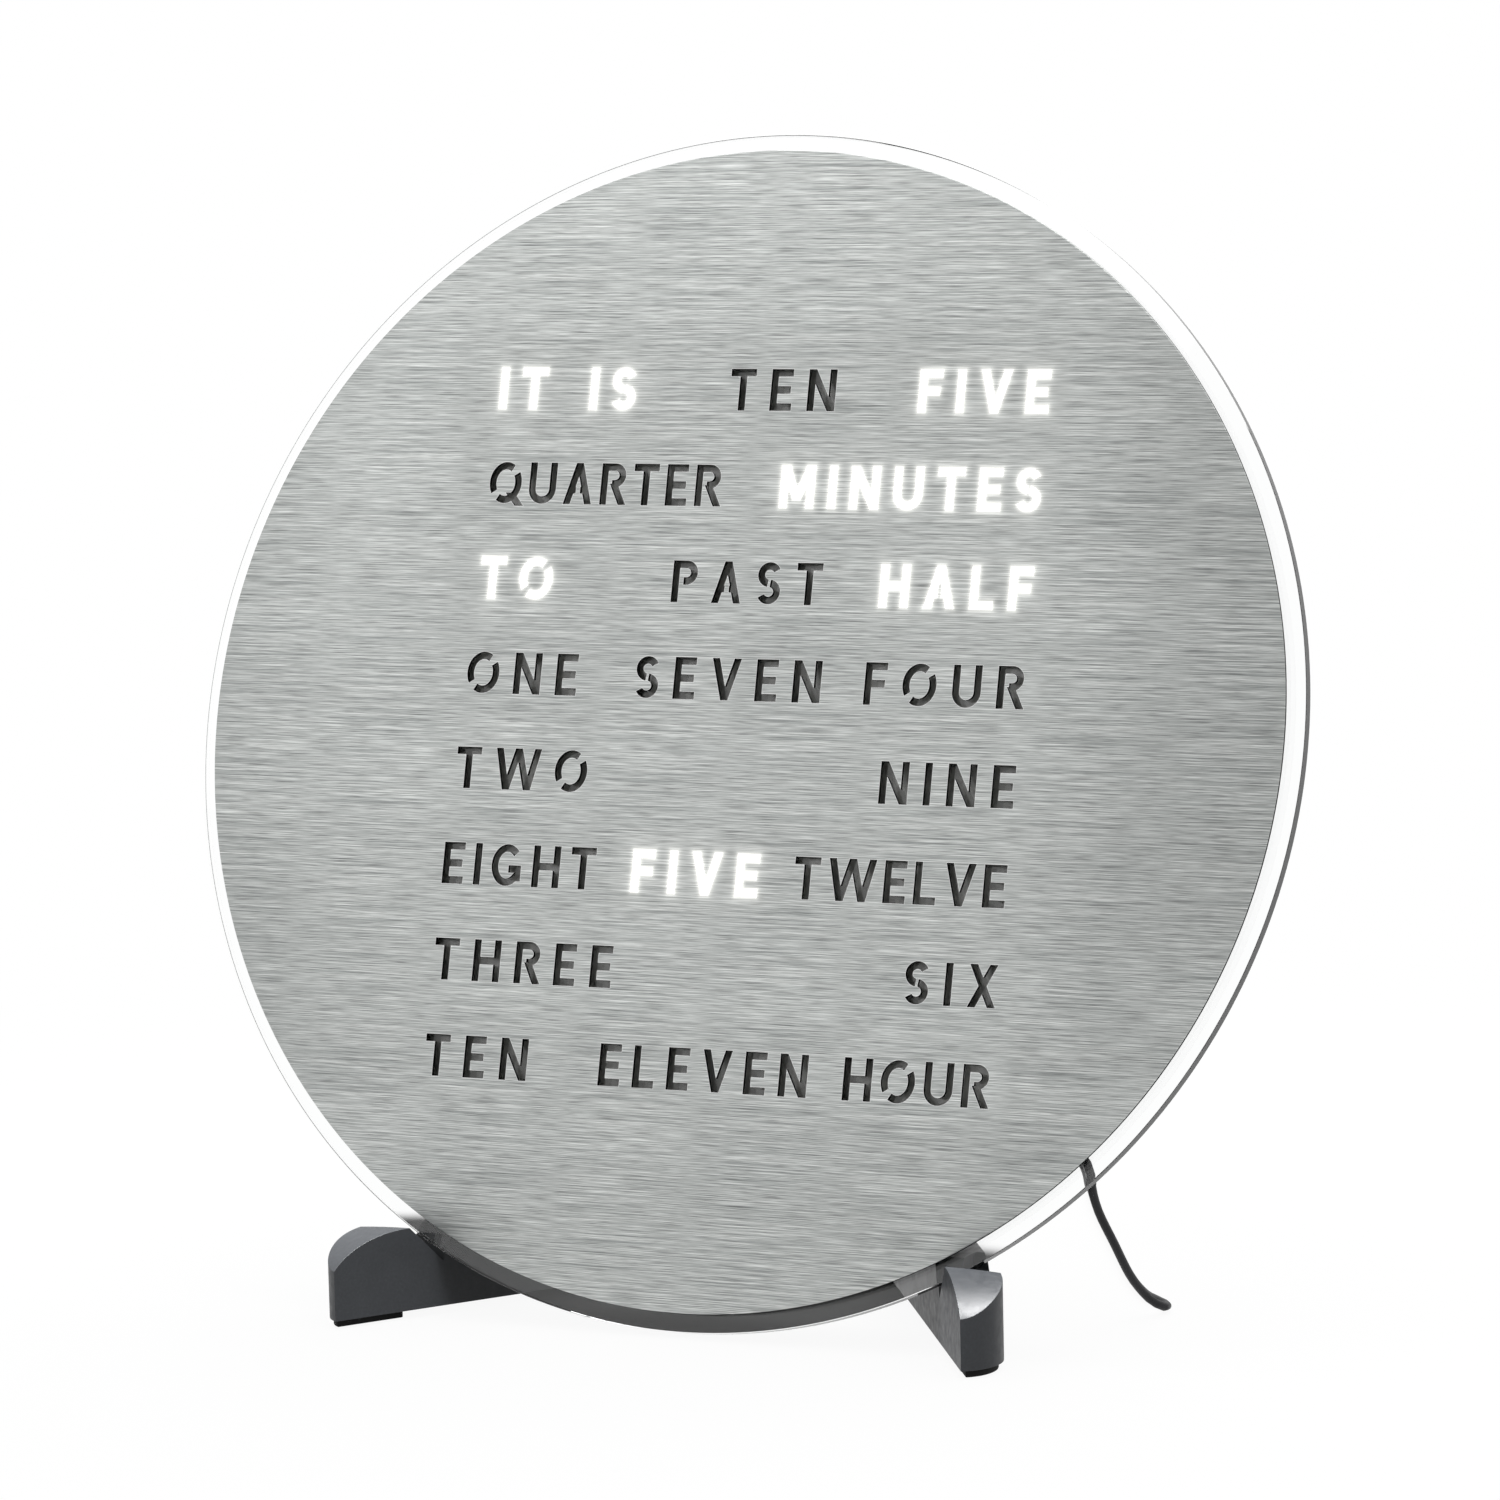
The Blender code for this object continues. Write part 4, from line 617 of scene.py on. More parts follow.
def glyphs():
    """The width and strokes of each stencil capital, in shares of the cap height."""
    s, gap = STROKE_SHARE, 0.11
    wide, rounded, narrow = 0.72, 0.86, 0.56
    low, high = (1 - s) / 2, (1 + s) / 2

    def posts(w):
        return [bar(0, 0, s, 1), bar(w - s, 0, w, 1)]

    post = bar(0, 0, s, 1)
    made = {" ": (narrow - s, []), "I": (s, [post])}
    w = 0.66
    made["T"] = w, [bar(0, 1 - s, w, 1), bar((w - s) / 2, 0, (w + s) / 2, 1 - s / 2)]

    w = narrow
    foot, head = bar(s / 2, 0, w, s), bar(s / 2, 1 - s, w, 1)
    middle = bar(s / 2, low, w - s / 4, high)
    made["E"] = w, [post, foot, head, middle]
    made["F"] = w, [post, head, middle]
    made["L"] = w, [post, foot]

    w = wide
    made["H"] = w, posts(w) + [bar(s / 2, low, w - s / 2, high)]
    made["N"] = w, posts(w) + [slant(w - s / 2, s / 2, s)]
    made["X"] = w, [slant(s * 0.6, w - s * 0.6, s), slant(w - s * 0.6, s * 0.6, s)]
    side = w / 2
    bowl = arc(side, side, side, side, s, 180, 360)
    made["U"] = w, [bar(0, side - s / 8, s, 1), bar(w - s, side - s / 8, w, 1), bowl]
    w = wide + s / 4
    made["V"] = w, [slant(w / 2, s * 0.54, s), slant(w / 2, w - s * 0.54, s)]

    w = rounded
    made["M"] = w, posts(w) + [slant(w / 2, x, s, 0.2) for x in (s * 0.62, w - s * 0.62)]
    ring = [arc(w / 2, 0.5, w / 2, 0.5, s, *ends) for ends in ((58, 212), (238, 392))]
    made["O"] = w, ring
    made["Q"] = w, ring + [slant(w * 0.98, w * 0.66, s, -0.06, 0.26)]
    w = rounded + 2 * s
    foot = w * 0.27
    ends = (foot, s * 0.54), (foot, w / 2), (w - foot, w / 2), (w - foot, w - s * 0.54)
    made["W"] = w, [slant(*end, s) for end in ends]
    w = rounded - s / 2
    middle, level, height = w / 2, 0.26, s * 0.9
    made["A"] = w, [
        slant(s * 0.55, middle, s),
        slant(w - s * 0.55, middle, s),
        bar(w * 0.22, level, middle - gap / 2, level + height),
        bar(middle + gap / 2, level, w * 0.78, level + height),
    ]
    w = rounded - s / 4
    made["G"] = w, [
        arc(w / 2, 0.5, w / 2, 0.5, s, 42, 325),
        bar(w - s * 1.15, 0.12, w - s * 0.15, 0.5),
        bar(w * 0.56, 0.5 - s, w - s * 0.15, 0.5),
    ]

    w, radius = narrow + s / 2, 0.29
    made["P"] = w, [
        post,
        bar(s / 2, 1 - s, w - radius, 1),
        arc(w - radius, 1 - radius, radius, radius, s, -90, 90),
        bar(s + gap, 1 - 2 * radius, w - radius + s / 8, 1 - 2 * radius + s),
    ]
    leg = slant(w - s * 0.3, w * 0.52, s, 0.0, 1 - 2 * radius + s / 2)
    made["R"] = w, made["P"][1] + [leg]
    w, radius = 0.60, (1 + s) / 4
    side = w / 2
    upper, lower = ((1 - radius, 28, 262), (radius, 82, -152))
    made["S"] = w, [arc(side, z, side, radius, s, *ends) for z, *ends in (upper, lower)]
    return made


GLYPHS = glyphs()


def word_outlines(text, left, right, middle):
    letters = [GLYPHS[letter] for letter in text]
    used = sum(width for width, _ in letters) * CAP_HEIGHT
    space = (right - left - used) / (len(text) - 1)
    bottom = middle - 0.5 * CAP_HEIGHT
    outlines = []
    for width, strokes in letters:
        for stroke in strokes:
            outlines.append([(left + x * CAP_HEIGHT, bottom + z * CAP_HEIGHT) for x, z in stroke])
        left += width * CAP_HEIGHT + space
    return outlines


def every_word():
    """Each word as (lit, text, left, right, middle). A word whose letters would stand too far
    apart is drawn in, towards the dial's edge at the ends of a row."""
    words = []
    for row, places in enumerate(WORD_ROW_SHARES):
        middle = LETTERING_REACH - row * ROW_PITCH - LETTERING_DROP
        for place, (text, *shares) in enumerate(places):
            left, right = (share * DIAL_RADIUS for share in shares)
            used = sum(GLYPHS[letter][0] for letter in text) * CAP_HEIGHT
            spare = right - left - used - (len(text) - 1) * MOST_TRACKING
            if spare > 0:
                lead = {0: 0, len(places) - 1: 1}.get(place, 0.5)
                left += spare * lead
                right -= spare * (1 - lead)
            words.append(((row, place) in LIT, text, left, right, middle))
    return words


def beside(outline, offset):
    """Points along both sides of an outline and round its corners, at the offset from it."""
    points = [corner for x, z in outline for corner in circle(x, z, offset, 8)]
    for start, end in zip(outline, outline[1:] + outline[:1]):
        along = Vector(end) - Vector(start)
        length = along.length
        if length < offset:
            continue
        across = Vector((-along.y, along.x)) / length * offset
        count = max(1, round(length / EDGE_HIGHLIGHT_STEP))
        for i in range(count):
            place = Vector(start) + along * ((i + 0.5) / count)
            points += [tuple(place + across), tuple(place - across)]
    return points


def distance_to(points, outlines):
    """How far each point is from the nearest of the outlines' edges, and 0 inside one."""
    starts = np.array([p for outline in outlines for p in outline])
    ends = np.array([p for outline in outlines for p in outline[1:] + outline[:1]])
    along = ends - starts
    squares = np.maximum((along**2).sum(1), 1e-18)
    least = np.full(len(points), 1e9)
    for begin in range(0, len(points), 2000):
        part = points[begin : begin + 2000]
        offset = part[:, None, :] - starts[None]
        share = np.clip((offset * along[None]).sum(2) / squares, 0, 1)
        gap = offset - share[..., None] * along[None]
        least[begin : begin + 2000] = np.sqrt((gap**2).sum(2)).min(1)
    return least


# Pieces of the head


def point_values(mesh, name, values):
    attribute = mesh.attributes.new(name, "FLOAT", "POINT")
    attribute.data.foreach_set("value", values.astype(np.float32))


def build_dial(steel, cut, lit_cut, rim):
    """The dial, with points round its words that carry their glow and the painted highlight on
    their cut edges.
    """
    regions = [
        (circle(0, 0, radius, ROUND_STEPS), 0.0, DIAL_THICKNESS, 0)
        for radius in (DIAL_RADIUS, DIAL_RADIUS - DIAL_CHAMFER)
    ]
    extra, lit_outlines, dark_outlines = [], [], []
    for lit, *word in every_word():
        outlines = word_outlines(*word)
        regions += [(o, None, None, 2 if lit else 1) for o in outlines]
        if lit:
            lit_outlines += outlines
            _, left, right, middle = word
            for i in range(int((right - left + 2 * GLOW_REACH) / GLOW_STEP) + 1):
                for k in range(int((CAP_HEIGHT + 2 * GLOW_REACH) / GLOW_STEP) + 1):
                    x = left - GLOW_REACH + (i + 0.5 * (k % 2)) * GLOW_STEP
                    extra.append((x, middle - CAP_HEIGHT / 2 - GLOW_REACH + k * GLOW_STEP))
        else:
            dark_outlines += outlines
            # points just outside each unlit letter, where its painted highlight fades out
            fence = [p for o in outlines for p in beside(o, EDGE_HIGHLIGHT_WIDTH)]
            clear = distance_to(np.array(fence), outlines) > EDGE_HIGHLIGHT_WIDTH * 0.8
            extra += [p for p, good in zip(fence, clear) if good]
    dial = terrace("dial_face", regions, [steel, cut, lit_cut, rim], extra, outer_wall=3)
    mesh = dial.data
    places = np.array([v.co for v in mesh.vertices])
    flat = places[:, [0, 2]]
    far = distance_to(flat, lit_outlines)
    glow = sum(strength * np.exp(-far / fade) for strength, fade in (GLOW_NEAR, GLOW_FAR))
    point_values(mesh, "glow", np.where(far > GLOW_REACH * 0.9, 0.0, glow))
    near = distance_to(flat, dark_outlines) < EDGE_HIGHLIGHT_WIDTH / 4
    in_front = places[:, 1] < DIAL_THICKNESS / 2
    point_values(mesh, "edge", np.where(near & in_front, EDGE_HIGHLIGHT_STRENGTH, 0.0))
    rim_reach = DIAL_RADIUS - DIAL_CHAMFER / 2
    for vertex in mesh.vertices:
        if vertex.co.y < GAP / 100 and math.hypot(vertex.co.x, vertex.co.z) > rim_reach:
            vertex.co.y = DIAL_CHAMFER
    placed(in_head(dial), "head", "dial_plate")


def build_clear_disc(material):
    rim, chamfer = CLEAR_DISC_RADIUS, CLEAR_DISC_CHAMFER
    profile = [(0, CLEAR_FRONT), (rim - chamfer, CLEAR_FRONT), (rim, CLEAR_FRONT + chamfer)]
    profile += [(rim, CLEAR_BACK - chamfer), (rim - chamfer, CLEAR_BACK), (0, CLEAR_BACK)]
    disc = turned("clear_disc_polished", profile, [material])
    placed(in_head(disc), "head", "clear_disc")


def post_places():
    across, up = POST_CIRCLE * math.cos(POST_ANGLE), POST_CIRCLE * math.sin(POST_ANGLE)
    return [(x, z) for z in (up, -up) for x in (-across, across)]


def build_diffuser(opal, shine):
    """The opal sheet, bright behind the words that are on."""
    regions = [(circle(0, 0, INNER_RADIUS, 128), DIFFUSER_FRONT, DIFFUSER_BACK, 0)]
    half = CAP_HEIGHT / 2 + WINDOW_MARGIN
    for lit, _, left, right, middle in every_word():
        if lit:
            low, high = left - WINDOW_MARGIN, right + WINDOW_MARGIN
            window = bar(low, middle - half, high, middle + half)
            regions.append((window, DIFFUSER_FRONT, DIFFUSER_BACK, 1))
    regions += [(circle(x, z, POST_RADIUS + GAP, 24), None, None, 0) for x, z in post_places()]
    sheet = terrace("opal_diffuser", regions, [opal, shine])
    placed(in_head(sheet), "head", "diffuser_sheet")


# Stand


def arm_frame(side):
    origin = Vector((side * ARM_CORNER_X, STAND_FRONT, PAD_THICKNESS))
    along = Vector((-side * math.sin(ARM_ANGLE), math.cos(ARM_ANGLE), 0))
    across = Vector((side * math.cos(ARM_ANGLE), math.sin(ARM_ANGLE), 0))
    return origin, along, across


def on_arm(side, s, o):
    """A place in plan, s along an arm from its front and o across it."""
    origin, along, across = arm_frame(side)
    return origin + along * s + across * o


def nose_plan(side, inset):
    """The rounded front end of an arm, seen from above."""
    points = []
    for i in range(NOSE_STEPS + 1):
        angle = math.pi / 2 * i / NOSE_STEPS
        s = inset + (NOSE_PLAN_LENGTH - inset) * (1 - math.cos(angle))
        points.append(on_arm(side, s, inset + (ARM_WIDTH - 2 * inset) * math.sin(angle)))
    return points


def arm_plan(side):
    origin, along, across = arm_frame(side)
    outer = origin + across * ARM_WIDTH
    points = nose_plan(side, 0)
    points.append(outer + along * ((STAND_BACK - outer.y) / along.y))
    points.append(Vector((side * GAP / 2, STAND_BACK, 0)))
    points.append(origin + along * ((side * GAP / 2 - origin.x) / along.x))
    return points


def arm_side():
    """An arm seen from its side, as (distance along, height)."""
    start = -NOSE_PLAN_LENGTH / 6
    points = []
    for i in range(NOSE_STEPS + 1):
        s = start + (NOSE_LENGTH - start) * (1 - math.cos(math.pi / 2 * i / NOSE_STEPS))
        share = (NOSE_LENGTH - s) / NOSE_HALF_LENGTH
        points.append((s, NOSE_TOP - NOSE_HALF_HEIGHT * (1 - math.sqrt(1 - share * share))))
    block = NOSE_LENGTH + REAR_BLOCK_LENGTH
    end = 2 * STAND_DEPTH
    points += [(block, REAR_TOP), (block + ARM_SLOPE_LENGTH, ARM_SLOPE_HEIGHT)]
    return points + [(end, ARM_END_HEIGHT), (end, 0), (start, 0)]


def notch_outlines():
    """The notch under the disc's rim, and the fall behind it outside the land it rests on."""
    inner_x = ARM_CORNER_X
    for _ in range(6):  # the notch's place and its inner end settle together
        drop = math.sqrt(CLEAR_DISC_RADIUS**2 - inner_x**2)
        behind = CLEAR_BACK * math.cos(LEAN) - drop * math.sin(LEAN)
        inner_x = ARM_CORNER_X - (FOOT_REACH + behind) * math.tan(ARM_ANGLE)
    rim = head_to_world((0, CLEAR_FRONT, -drop))
    back = head_to_world((0, CLEAR_BACK + GAP, -drop))
    rise = math.tan(FLANK_SLOPE)
    tilt = math.tan(LEAN)
    rim_z = rim.z - GAP / math.cos(FLANK_SLOPE)
    behind_rim = (back.y - rim.y - tilt * (back.z - rim_z)) / (1 + tilt * rise)
    rest = (rim.y + behind_rim, rim_z - behind_rim * rise)
    rest_top = (rest[0] + (HEAD_Z - rest[1]) * tilt, HEAD_Z)
    foot_z = PAD_THICKNESS + NOSE_TOP - NOTCH_DEPTH
    foot = (rim.y + (rim_z - foot_z) / rise, foot_z)
    notch = [rest, rest_top, (rim.y - (HEAD_Z - rim_z) / rise, HEAD_Z)]
    fall = [rest, foot, (foot[0] + (HEAD_Z - foot_z) / rise, HEAD_Z), (rest[0], HEAD_Z)]
    return notch, fall


def bridge_screw_places(side):
    back = ARM_LENGTH - BRIDGE_SCREW_INSET
    return [on_arm(side, s, ARM_WIDTH / 2) for s in (back - BRIDGE_SCREW_SPACING, back)]


def front_pad(side, grown):
    inset = PAD_INSET - grown
    corners = [on_arm(side, PAD_REACH + grown, o) for o in (ARM_WIDTH - inset, inset)]
    return nose_plan(side, inset) + corners


def rear_pad(side, grown):
    middle = on_arm(side, ARM_LENGTH - REAR_PAD_INSET, ARM_WIDTH / 2)
    return circle(middle.x, middle.y, REAR_PAD_RADIUS + grown, 40)


def build_arm(side, name, coat, rubber):
    cast = f"{name}_arm_cast"
    wide, disc = STAND_DEPTH, CLEAR_DISC_RADIUS
    arm = side_prism(cast, arm_side(), *arm_frame(side), -wide, 2 * wide, [coat])
    boolean(arm, prism("plan", arm_plan(side), -BELOW, HEAD_Z), "INTERSECT")
    notch, fall = notch_outlines()
    span = (0, 0, 0), (0, 1, 0)
    boolean(arm, side_prism("notch", notch, *span, (1, 0, 0), -disc, 2 * disc))
    boolean(arm, side_prism("fall", fall, *span, (side, 0, 0), REST_REACH, disc))
    front = STAND_BACK - BRIDGE_LENGTH - GAP
    seat = [(-wide, front), (wide, front), (wide, wide), (-wide, wide)]
    boolean(arm, prism("seat", seat, PAD_THICKNESS + BRIDGE_SEAT, HEAD_Z))
    cleaned(arm.data, 2e-6, 0.6)
    bevelled(arm, ARM_EDGE, 3, 30)
    top = PAD_THICKNESS + PAD_RECESS
    for place, pad in (("front", front_pad), ("rear", rear_pad)):
        boolean(arm, prism("recess", pad(side, GAP), -BELOW, top))
        soft = prism(f"{place}_pad_{name}_rubber", pad(side, 0), 0.0, top - GAP, [rubber])
        bevelled(soft, PAD_EDGE)
        placed(soft, "stand", f"{place}_pad_{name}")
    for place in bridge_screw_places(side):
        hole = circle(place.x, place.y, SCREW_RADIUS + GAP, 24)
        boolean(arm, prism("hole", hole, PAD_THICKNESS + BRIDGE_SEAT - SCREW_REACH, HEAD_Z))
    weighted(arm)
    return placed(arm, "stand", f"{name}_arm")


# Cord


def smooth_route(points):
    """A smooth line through the points, in even steps."""
    points = [Vector(point) for point in points]
    ends = [2 * points[0] - points[1]] + points + [2 * points[-1] - points[-2]]
    fine = []
    for i in range(1, len(ends) - 2):
        before, here, after, beyond = ends[i - 1 : i + 3]
        for k in range(ROUTE_FINE_STEPS):
            t = k / ROUTE_FINE_STEPS
            square = (2 * before - 5 * here + 4 * after - beyond) * t * t
            cube = (3 * here - before - 3 * after + beyond) * t * t * t
            fine.append(0.5 * (2 * here + (after - before) * t + square + cube))
    fine.append(points[-1])
    lengths = [0.0]
    for a, b in zip(fine, fine[1:]):
        lengths.append(lengths[-1] + (b - a).length)
    count = round(lengths[-1] / ROUTE_STEP)
    even, j = [], 0
    for i in range(count + 1):
        target = lengths[-1] * i / count
        while j < len(fine) - 2 and lengths[j + 1] < target:
            j += 1
        share = (target - lengths[j]) / (lengths[j + 1] - lengths[j])
        even.append(fine[j].lerp(fine[j + 1], share))
    return even


def coil_point(turns):
    """A place on the coil, which is wound inwards and outwards in turn, layer on layer."""
    done = 0.0
    height = COIL_BOTTOM + CORD_RADIUS
    for layer in range(COIL_LAYERS):
        inwards = layer % 2 == 0
        spent = min(turns - done, COIL_PITCH_TURNS)
        start = COIL_OUTER_RADIUS if inwards else COIL_INNER_RADIUS
        radius = start + (-1 if inwards else 1) * COIL_RADIAL_PITCH * spent
        done += COIL_PITCH_TURNS
        if turns <= done or layer == COIL_LAYERS - 1:
            break
        share = min((turns - done) / 0.5, 1.0)
        height += COIL_LAYER_HEIGHT * (3 - 2 * share) * share * share
        done += 0.5
        if turns <= done:
            break
    angle = COIL_START + 2 * math.pi * turns
    return COIL_CENTRE + Vector((radius * math.cos(angle), radius * math.sin(angle), height))


def heading(turns):
    angle = COIL_START + 2 * math.pi * turns
    return Vector((-math.sin(angle), math.cos(angle), 0))


def coil_points():
    count = round(COIL_TURNS * COIL_STEPS)
    turns = [coil_point(COIL_TURNS * i / count) for i in range(count + 1)]
    first = [turns[0] - heading(0) * CORD_DIAMETER * k for k in (2, 1)]
    run_on = range(1, RUN_ON_STEPS + 1)
    last = [turns[-1] + heading(COIL_TURNS) * CORD_DIAMETER * k for k in run_on]
    return first + turns + last


def on_relief_axis(radius, depth):
    return Vector((radius * math.cos(RELIEF_ANGLE), depth, radius * math.sin(RELIEF_ANGLE)))


def sweep(name, points, material):
    """A round tube along the points, with domed ends."""
    bm = bmesh.new()
    rings = []
    normal = (points[1] - points[0]).normalized().orthogonal().normalized()
    stations = [(points[0], 0.55, -0.8), (points[0], 0.9, -0.3)]
    stations += [(point, 1.0, 0.0) for point in points]
    stations += [(points[-1], 0.9, 0.3), (points[-1], 0.55, 0.8)]
    for index, (point, share, shift) in enumerate(stations):
        here = min(max(index - 2, 0), len(points) - 1)
        ahead = points[min(here + 1, len(points) - 1)] - points[max(here - 1, 0)]
        direction = ahead.normalized()
        normal = (normal - direction * normal.dot(direction)).normalized()
        side = direction.cross(normal)
        centre = point + direction * (0.2 * GAP * shift)
        ring = []
        for k in range(CORD_SIDES):
            angle = 2 * math.pi * k / CORD_SIDES
            spoke = normal * math.cos(angle) + side * math.sin(angle)
            ring.append(bm.verts.new(centre + spoke * CORD_RADIUS * share))
        rings.append(ring)
    bridged(bm, rings, CORD_SIDES)
    bm.faces.new(rings[0])
    bm.faces.new(rings[-1])
    return finish_mesh(name, bm, [material])


def cord_line():
    coil = coil_points()
    start = head_to_world(on_relief_axis(RELIEF_END + GAP, RELIEF_DEPTH))
    outwards = head_to_world(on_relief_axis(RELIEF_END + GAP + CORD_DIAMETER, RELIEF_DEPTH))
    return smooth_route([start, outwards] + CORD_ROUTE + [coil[0]])[:-1] + coil, start


def build_cord(material):
    line, start = cord_line()
    cord = sweep("supply_cord", line, material)
    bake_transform(cord)
    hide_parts("cord_lead", "cord_coil")


# Camera, light and floor


def build_camera():
    yaw, pitch, roll = (math.radians(angle) for angle in CAMERA_ANGLES)
    away = math.cos(pitch)
    back = Vector((math.sin(yaw) * away, -math.cos(yaw) * away, math.sin(pitch)))
    level = Vector((math.cos(yaw), math.sin(yaw), 0))
    upright = back.cross(level)
    right = level * math.cos(roll) + upright * math.sin(roll)
    up = upright * math.cos(roll) - level * math.sin(roll)
    data = bpy.data.cameras.new("camera")
    data.sensor_width = SENSOR_WIDTH
    data.lens = FOCAL_PIXELS / PHOTO_SIZE * SENSOR_WIDTH
    data.shift_x, data.shift_y = (shift / PHOTO_SIZE for shift in SHIFT_PIXELS)
    data.clip_start, data.clip_end = 0.05, 60
    camera = in_scene("camera", data)
    turn = Matrix((right, up, back)).transposed().to_4x4()
    camera.matrix_world = Matrix.Translation(CAMERA_PLACE) @ turn
    bpy.context.scene.camera = camera


def maths(tree, operation, first, second):
    made = add(tree, "Math", operation=operation)
    tree.links.new(first, made.inputs[0])
    tree.links.new(second, made.inputs[1])
    return made.outputs["Value"]


def from_point(tree, source, output, operation, point):
    """The distance to a point, or the share of a vector that lies along it."""
    made = add(tree, "VectorMath", operation=operation)
    link(tree, source, output, made, 0)
    made.inputs[1].default_value = point
    return made.outputs["Value"]


def map_range(tree, source, before, after):
    """The source's value, taken smoothly from one range to another."""
    made = add(tree, "MapRange", interpolation_type="SMOOTHSTEP")
    tree.links.new(source, made.inputs["Value"])
    for end, values in (("From", before), ("To", after)):
        made.inputs[f"{end} Min"].default_value = values[0]
        made.inputs[f"{end} Max"].default_value = values[1]
    return made.outputs["Result"]


def build_world():
    world = bpy.data.worlds.new("studio")
    world.use_nodes = True
    tree = world.node_tree
    tree.nodes.clear()
    background = add(tree, "Background", Color=(1, 1, 1, 1))
    place = add(tree, "TexCoord")
    parts = add(tree, "SeparateXYZ")
    link(tree, place, "Generated", parts, "Vector")
    path = add(tree, "LightPath")
    above = map_range(tree, parts.outputs["Z"], (-0.1, 1.0), (SIDE_LIGHT, TOP_LIGHT))
    behind = map_range(tree, parts.outputs["Y"], (-0.5, 0.2), (FRONT_GLOSS, 1.0))
    towards = from_point(tree, place, "Generated", "DOT_PRODUCT", WINDOW_SIDE)
    window = map_range(tree, towards, (0.55, 1.0), (1.0, WINDOW_GLOSS))
    glossy = add(tree, "Mix", data_type="FLOAT")
    link(tree, path, "Is Glossy Ray", glossy, "Factor")
    tree.links.new(above, glossy.inputs["A"])
    tree.links.new(maths(tree, "MULTIPLY", behind, window), glossy.inputs["B"])
    camera, glass = path.outputs["Is Camera Ray"], path.outputs["Is Transmission Ray"]
    shown = add(tree, "Mix", data_type="FLOAT", B=1.0)
    tree.links.new(maths(tree, "MAXIMUM", camera, glass), shown.inputs["Factor"])
    link(tree, glossy, "Result", shown, "A")
    link(tree, shown, "Result", background, "Strength")
    output = add(tree, "OutputWorld")
    link(tree, background, "Background", output, "Surface")
    bpy.context.scene.world = world


def build_floor():
    """White to the camera with the clock's own shadow, and, as a painted shadow, dark to rays
    through the clear disc in a patch behind it, which the photograph shows."""
    bm = bmesh.new()
    bm.faces.new([bm.verts.new((x, y, 0)) for x, y in circle(0, 0, FLOOR_RADIUS, 64)])
    values = {"Roughness": 0.9, "Specular IOR Level": 0.0}
    made, tree, shader, place = nodes_of("floor_white", values)
    tone = ramp(tree, noise(tree, place, 3.0, 2.0), "Fac", [(0.3, 0.86), (0.7, 0.88)])
    distance = from_point(tree, place, "Object", "DISTANCE", SHADE_MIDDLE)
    reach = map_range(tree, distance, (SHADOW_REACH, CLEAR_REACH), (FLOOR_NEAR, FLOOR_FAR))
    squeezed = add(tree, "Mapping", Scale=(0.5, 1, 1))
    link(tree, place, "Object", squeezed, "Vector")
    behind = from_point(tree, squeezed, "Vector", "DISTANCE", GLASS_SHADE_MIDDLE)
    through = map_range(tree, behind, GLASS_SHADE_REACH, (0.0, 1.0))
    shade_share = map_range(tree, behind, GLASS_SHADE_REACH, (GLASS_SHADE, 0.0))
    spot = add(tree, "SeparateXYZ")
    link(tree, place, "Object", spot, "Vector")
    ahead = map_range(tree, spot.outputs["Y"], (-0.5, 0.1), (FRONT_GLOSS, 1.0))
    path = add(tree, "LightPath")
    glass = path.outputs["Is Transmission Ray"]
    # a ray bent by glass counts as glossy too
    mirrored = maths(tree, "SUBTRACT", path.outputs["Is Glossy Ray"], glass)
    mirrored = maths(tree, "MULTIPLY", mirrored, ahead)
    direct = maths(tree, "MAXIMUM", path.outputs["Is Camera Ray"], mirrored)
    direct = maths(tree, "MULTIPLY", direct, reach)
    share = maths(tree, "MAXIMUM", direct, maths(tree, "MULTIPLY", glass, through))
    # painted shadow: the floor's colour goes to black for rays through the clear disc, in the
    # patch behind the clock
    dark = add(tree, "Mix", data_type="RGBA", B=(0, 0, 0, 1))
    tree.links.new(maths(tree, "MULTIPLY", glass, shade_share), dark.inputs["Factor"])
    link(tree, tone, "Color", dark, "A")
    link(tree, dark, "Result", shader, "Base Color")
    white = add(tree, "Emission", Strength=1.0)
    mix = add(tree, "MixShader")
    tree.links.new(share, mix.inputs["Fac"])
    tree.links.new(shader.outputs["BSDF"], mix.inputs[1])
    tree.links.new(white.outputs["Emission"], mix.inputs[2])
    output = next(n for n in tree.nodes if n.type == "OUTPUT_MATERIAL")
    link(tree, mix, "Shader", output, "Surface")
    floor = finish_mesh("floor", bm, [made])
    floor.location.z = -FLOOR_DROP


def area_light(name, place, target, size, power):
    data = bpy.data.lights.new(name, "AREA")
    data.shape = "RECTANGLE"
    data.size, data.size_y = size
    data.energy = power
    lamp = in_scene(name, data)
    lamp.location = place
    lamp.rotation_mode = "QUATERNION"
    lamp.rotation_quaternion = (Vector(target) - Vector(place)).to_track_quat("-Z", "Y")
    lamp.visible_camera = False
    return lamp


def build_lights():
    area_light("key", (-1.1, -1.0, 1.5), (0, 0, 0.10), (1.8, 1.8), 3)
    area_light("top", (0.1, 0.8, 1.6), (0, 0, 0.0), (2.4, 2.0), 30)


def light_from_above(pieces):
    """A soft light over the front that only the given pieces take."""
    lamp = area_light("above", (0.06, -0.24, 1.28), (0, -0.05, 0), (0.7, 0.5), ARM_LIGHT_POWER)
    takers = bpy.data.collections.new("lit_from_above")
    for piece in pieces:
        takers.objects.link(piece)
    lamp.light_linking.receiver_collection = takers


# The clock

bpy.context.scene.view_settings.view_transform = "Standard"
build_camera()
build_world()
build_floor()
build_lights()

steel = brushed_steel("dial_brushed_steel")
# walls cut through the steel round the unlit letters: near black, painted shade inside the cuts
cut_wall_shade = moulded("dial_cut_edge", (0.008, 0.008, 0.008), 0.6, specular=0.12)
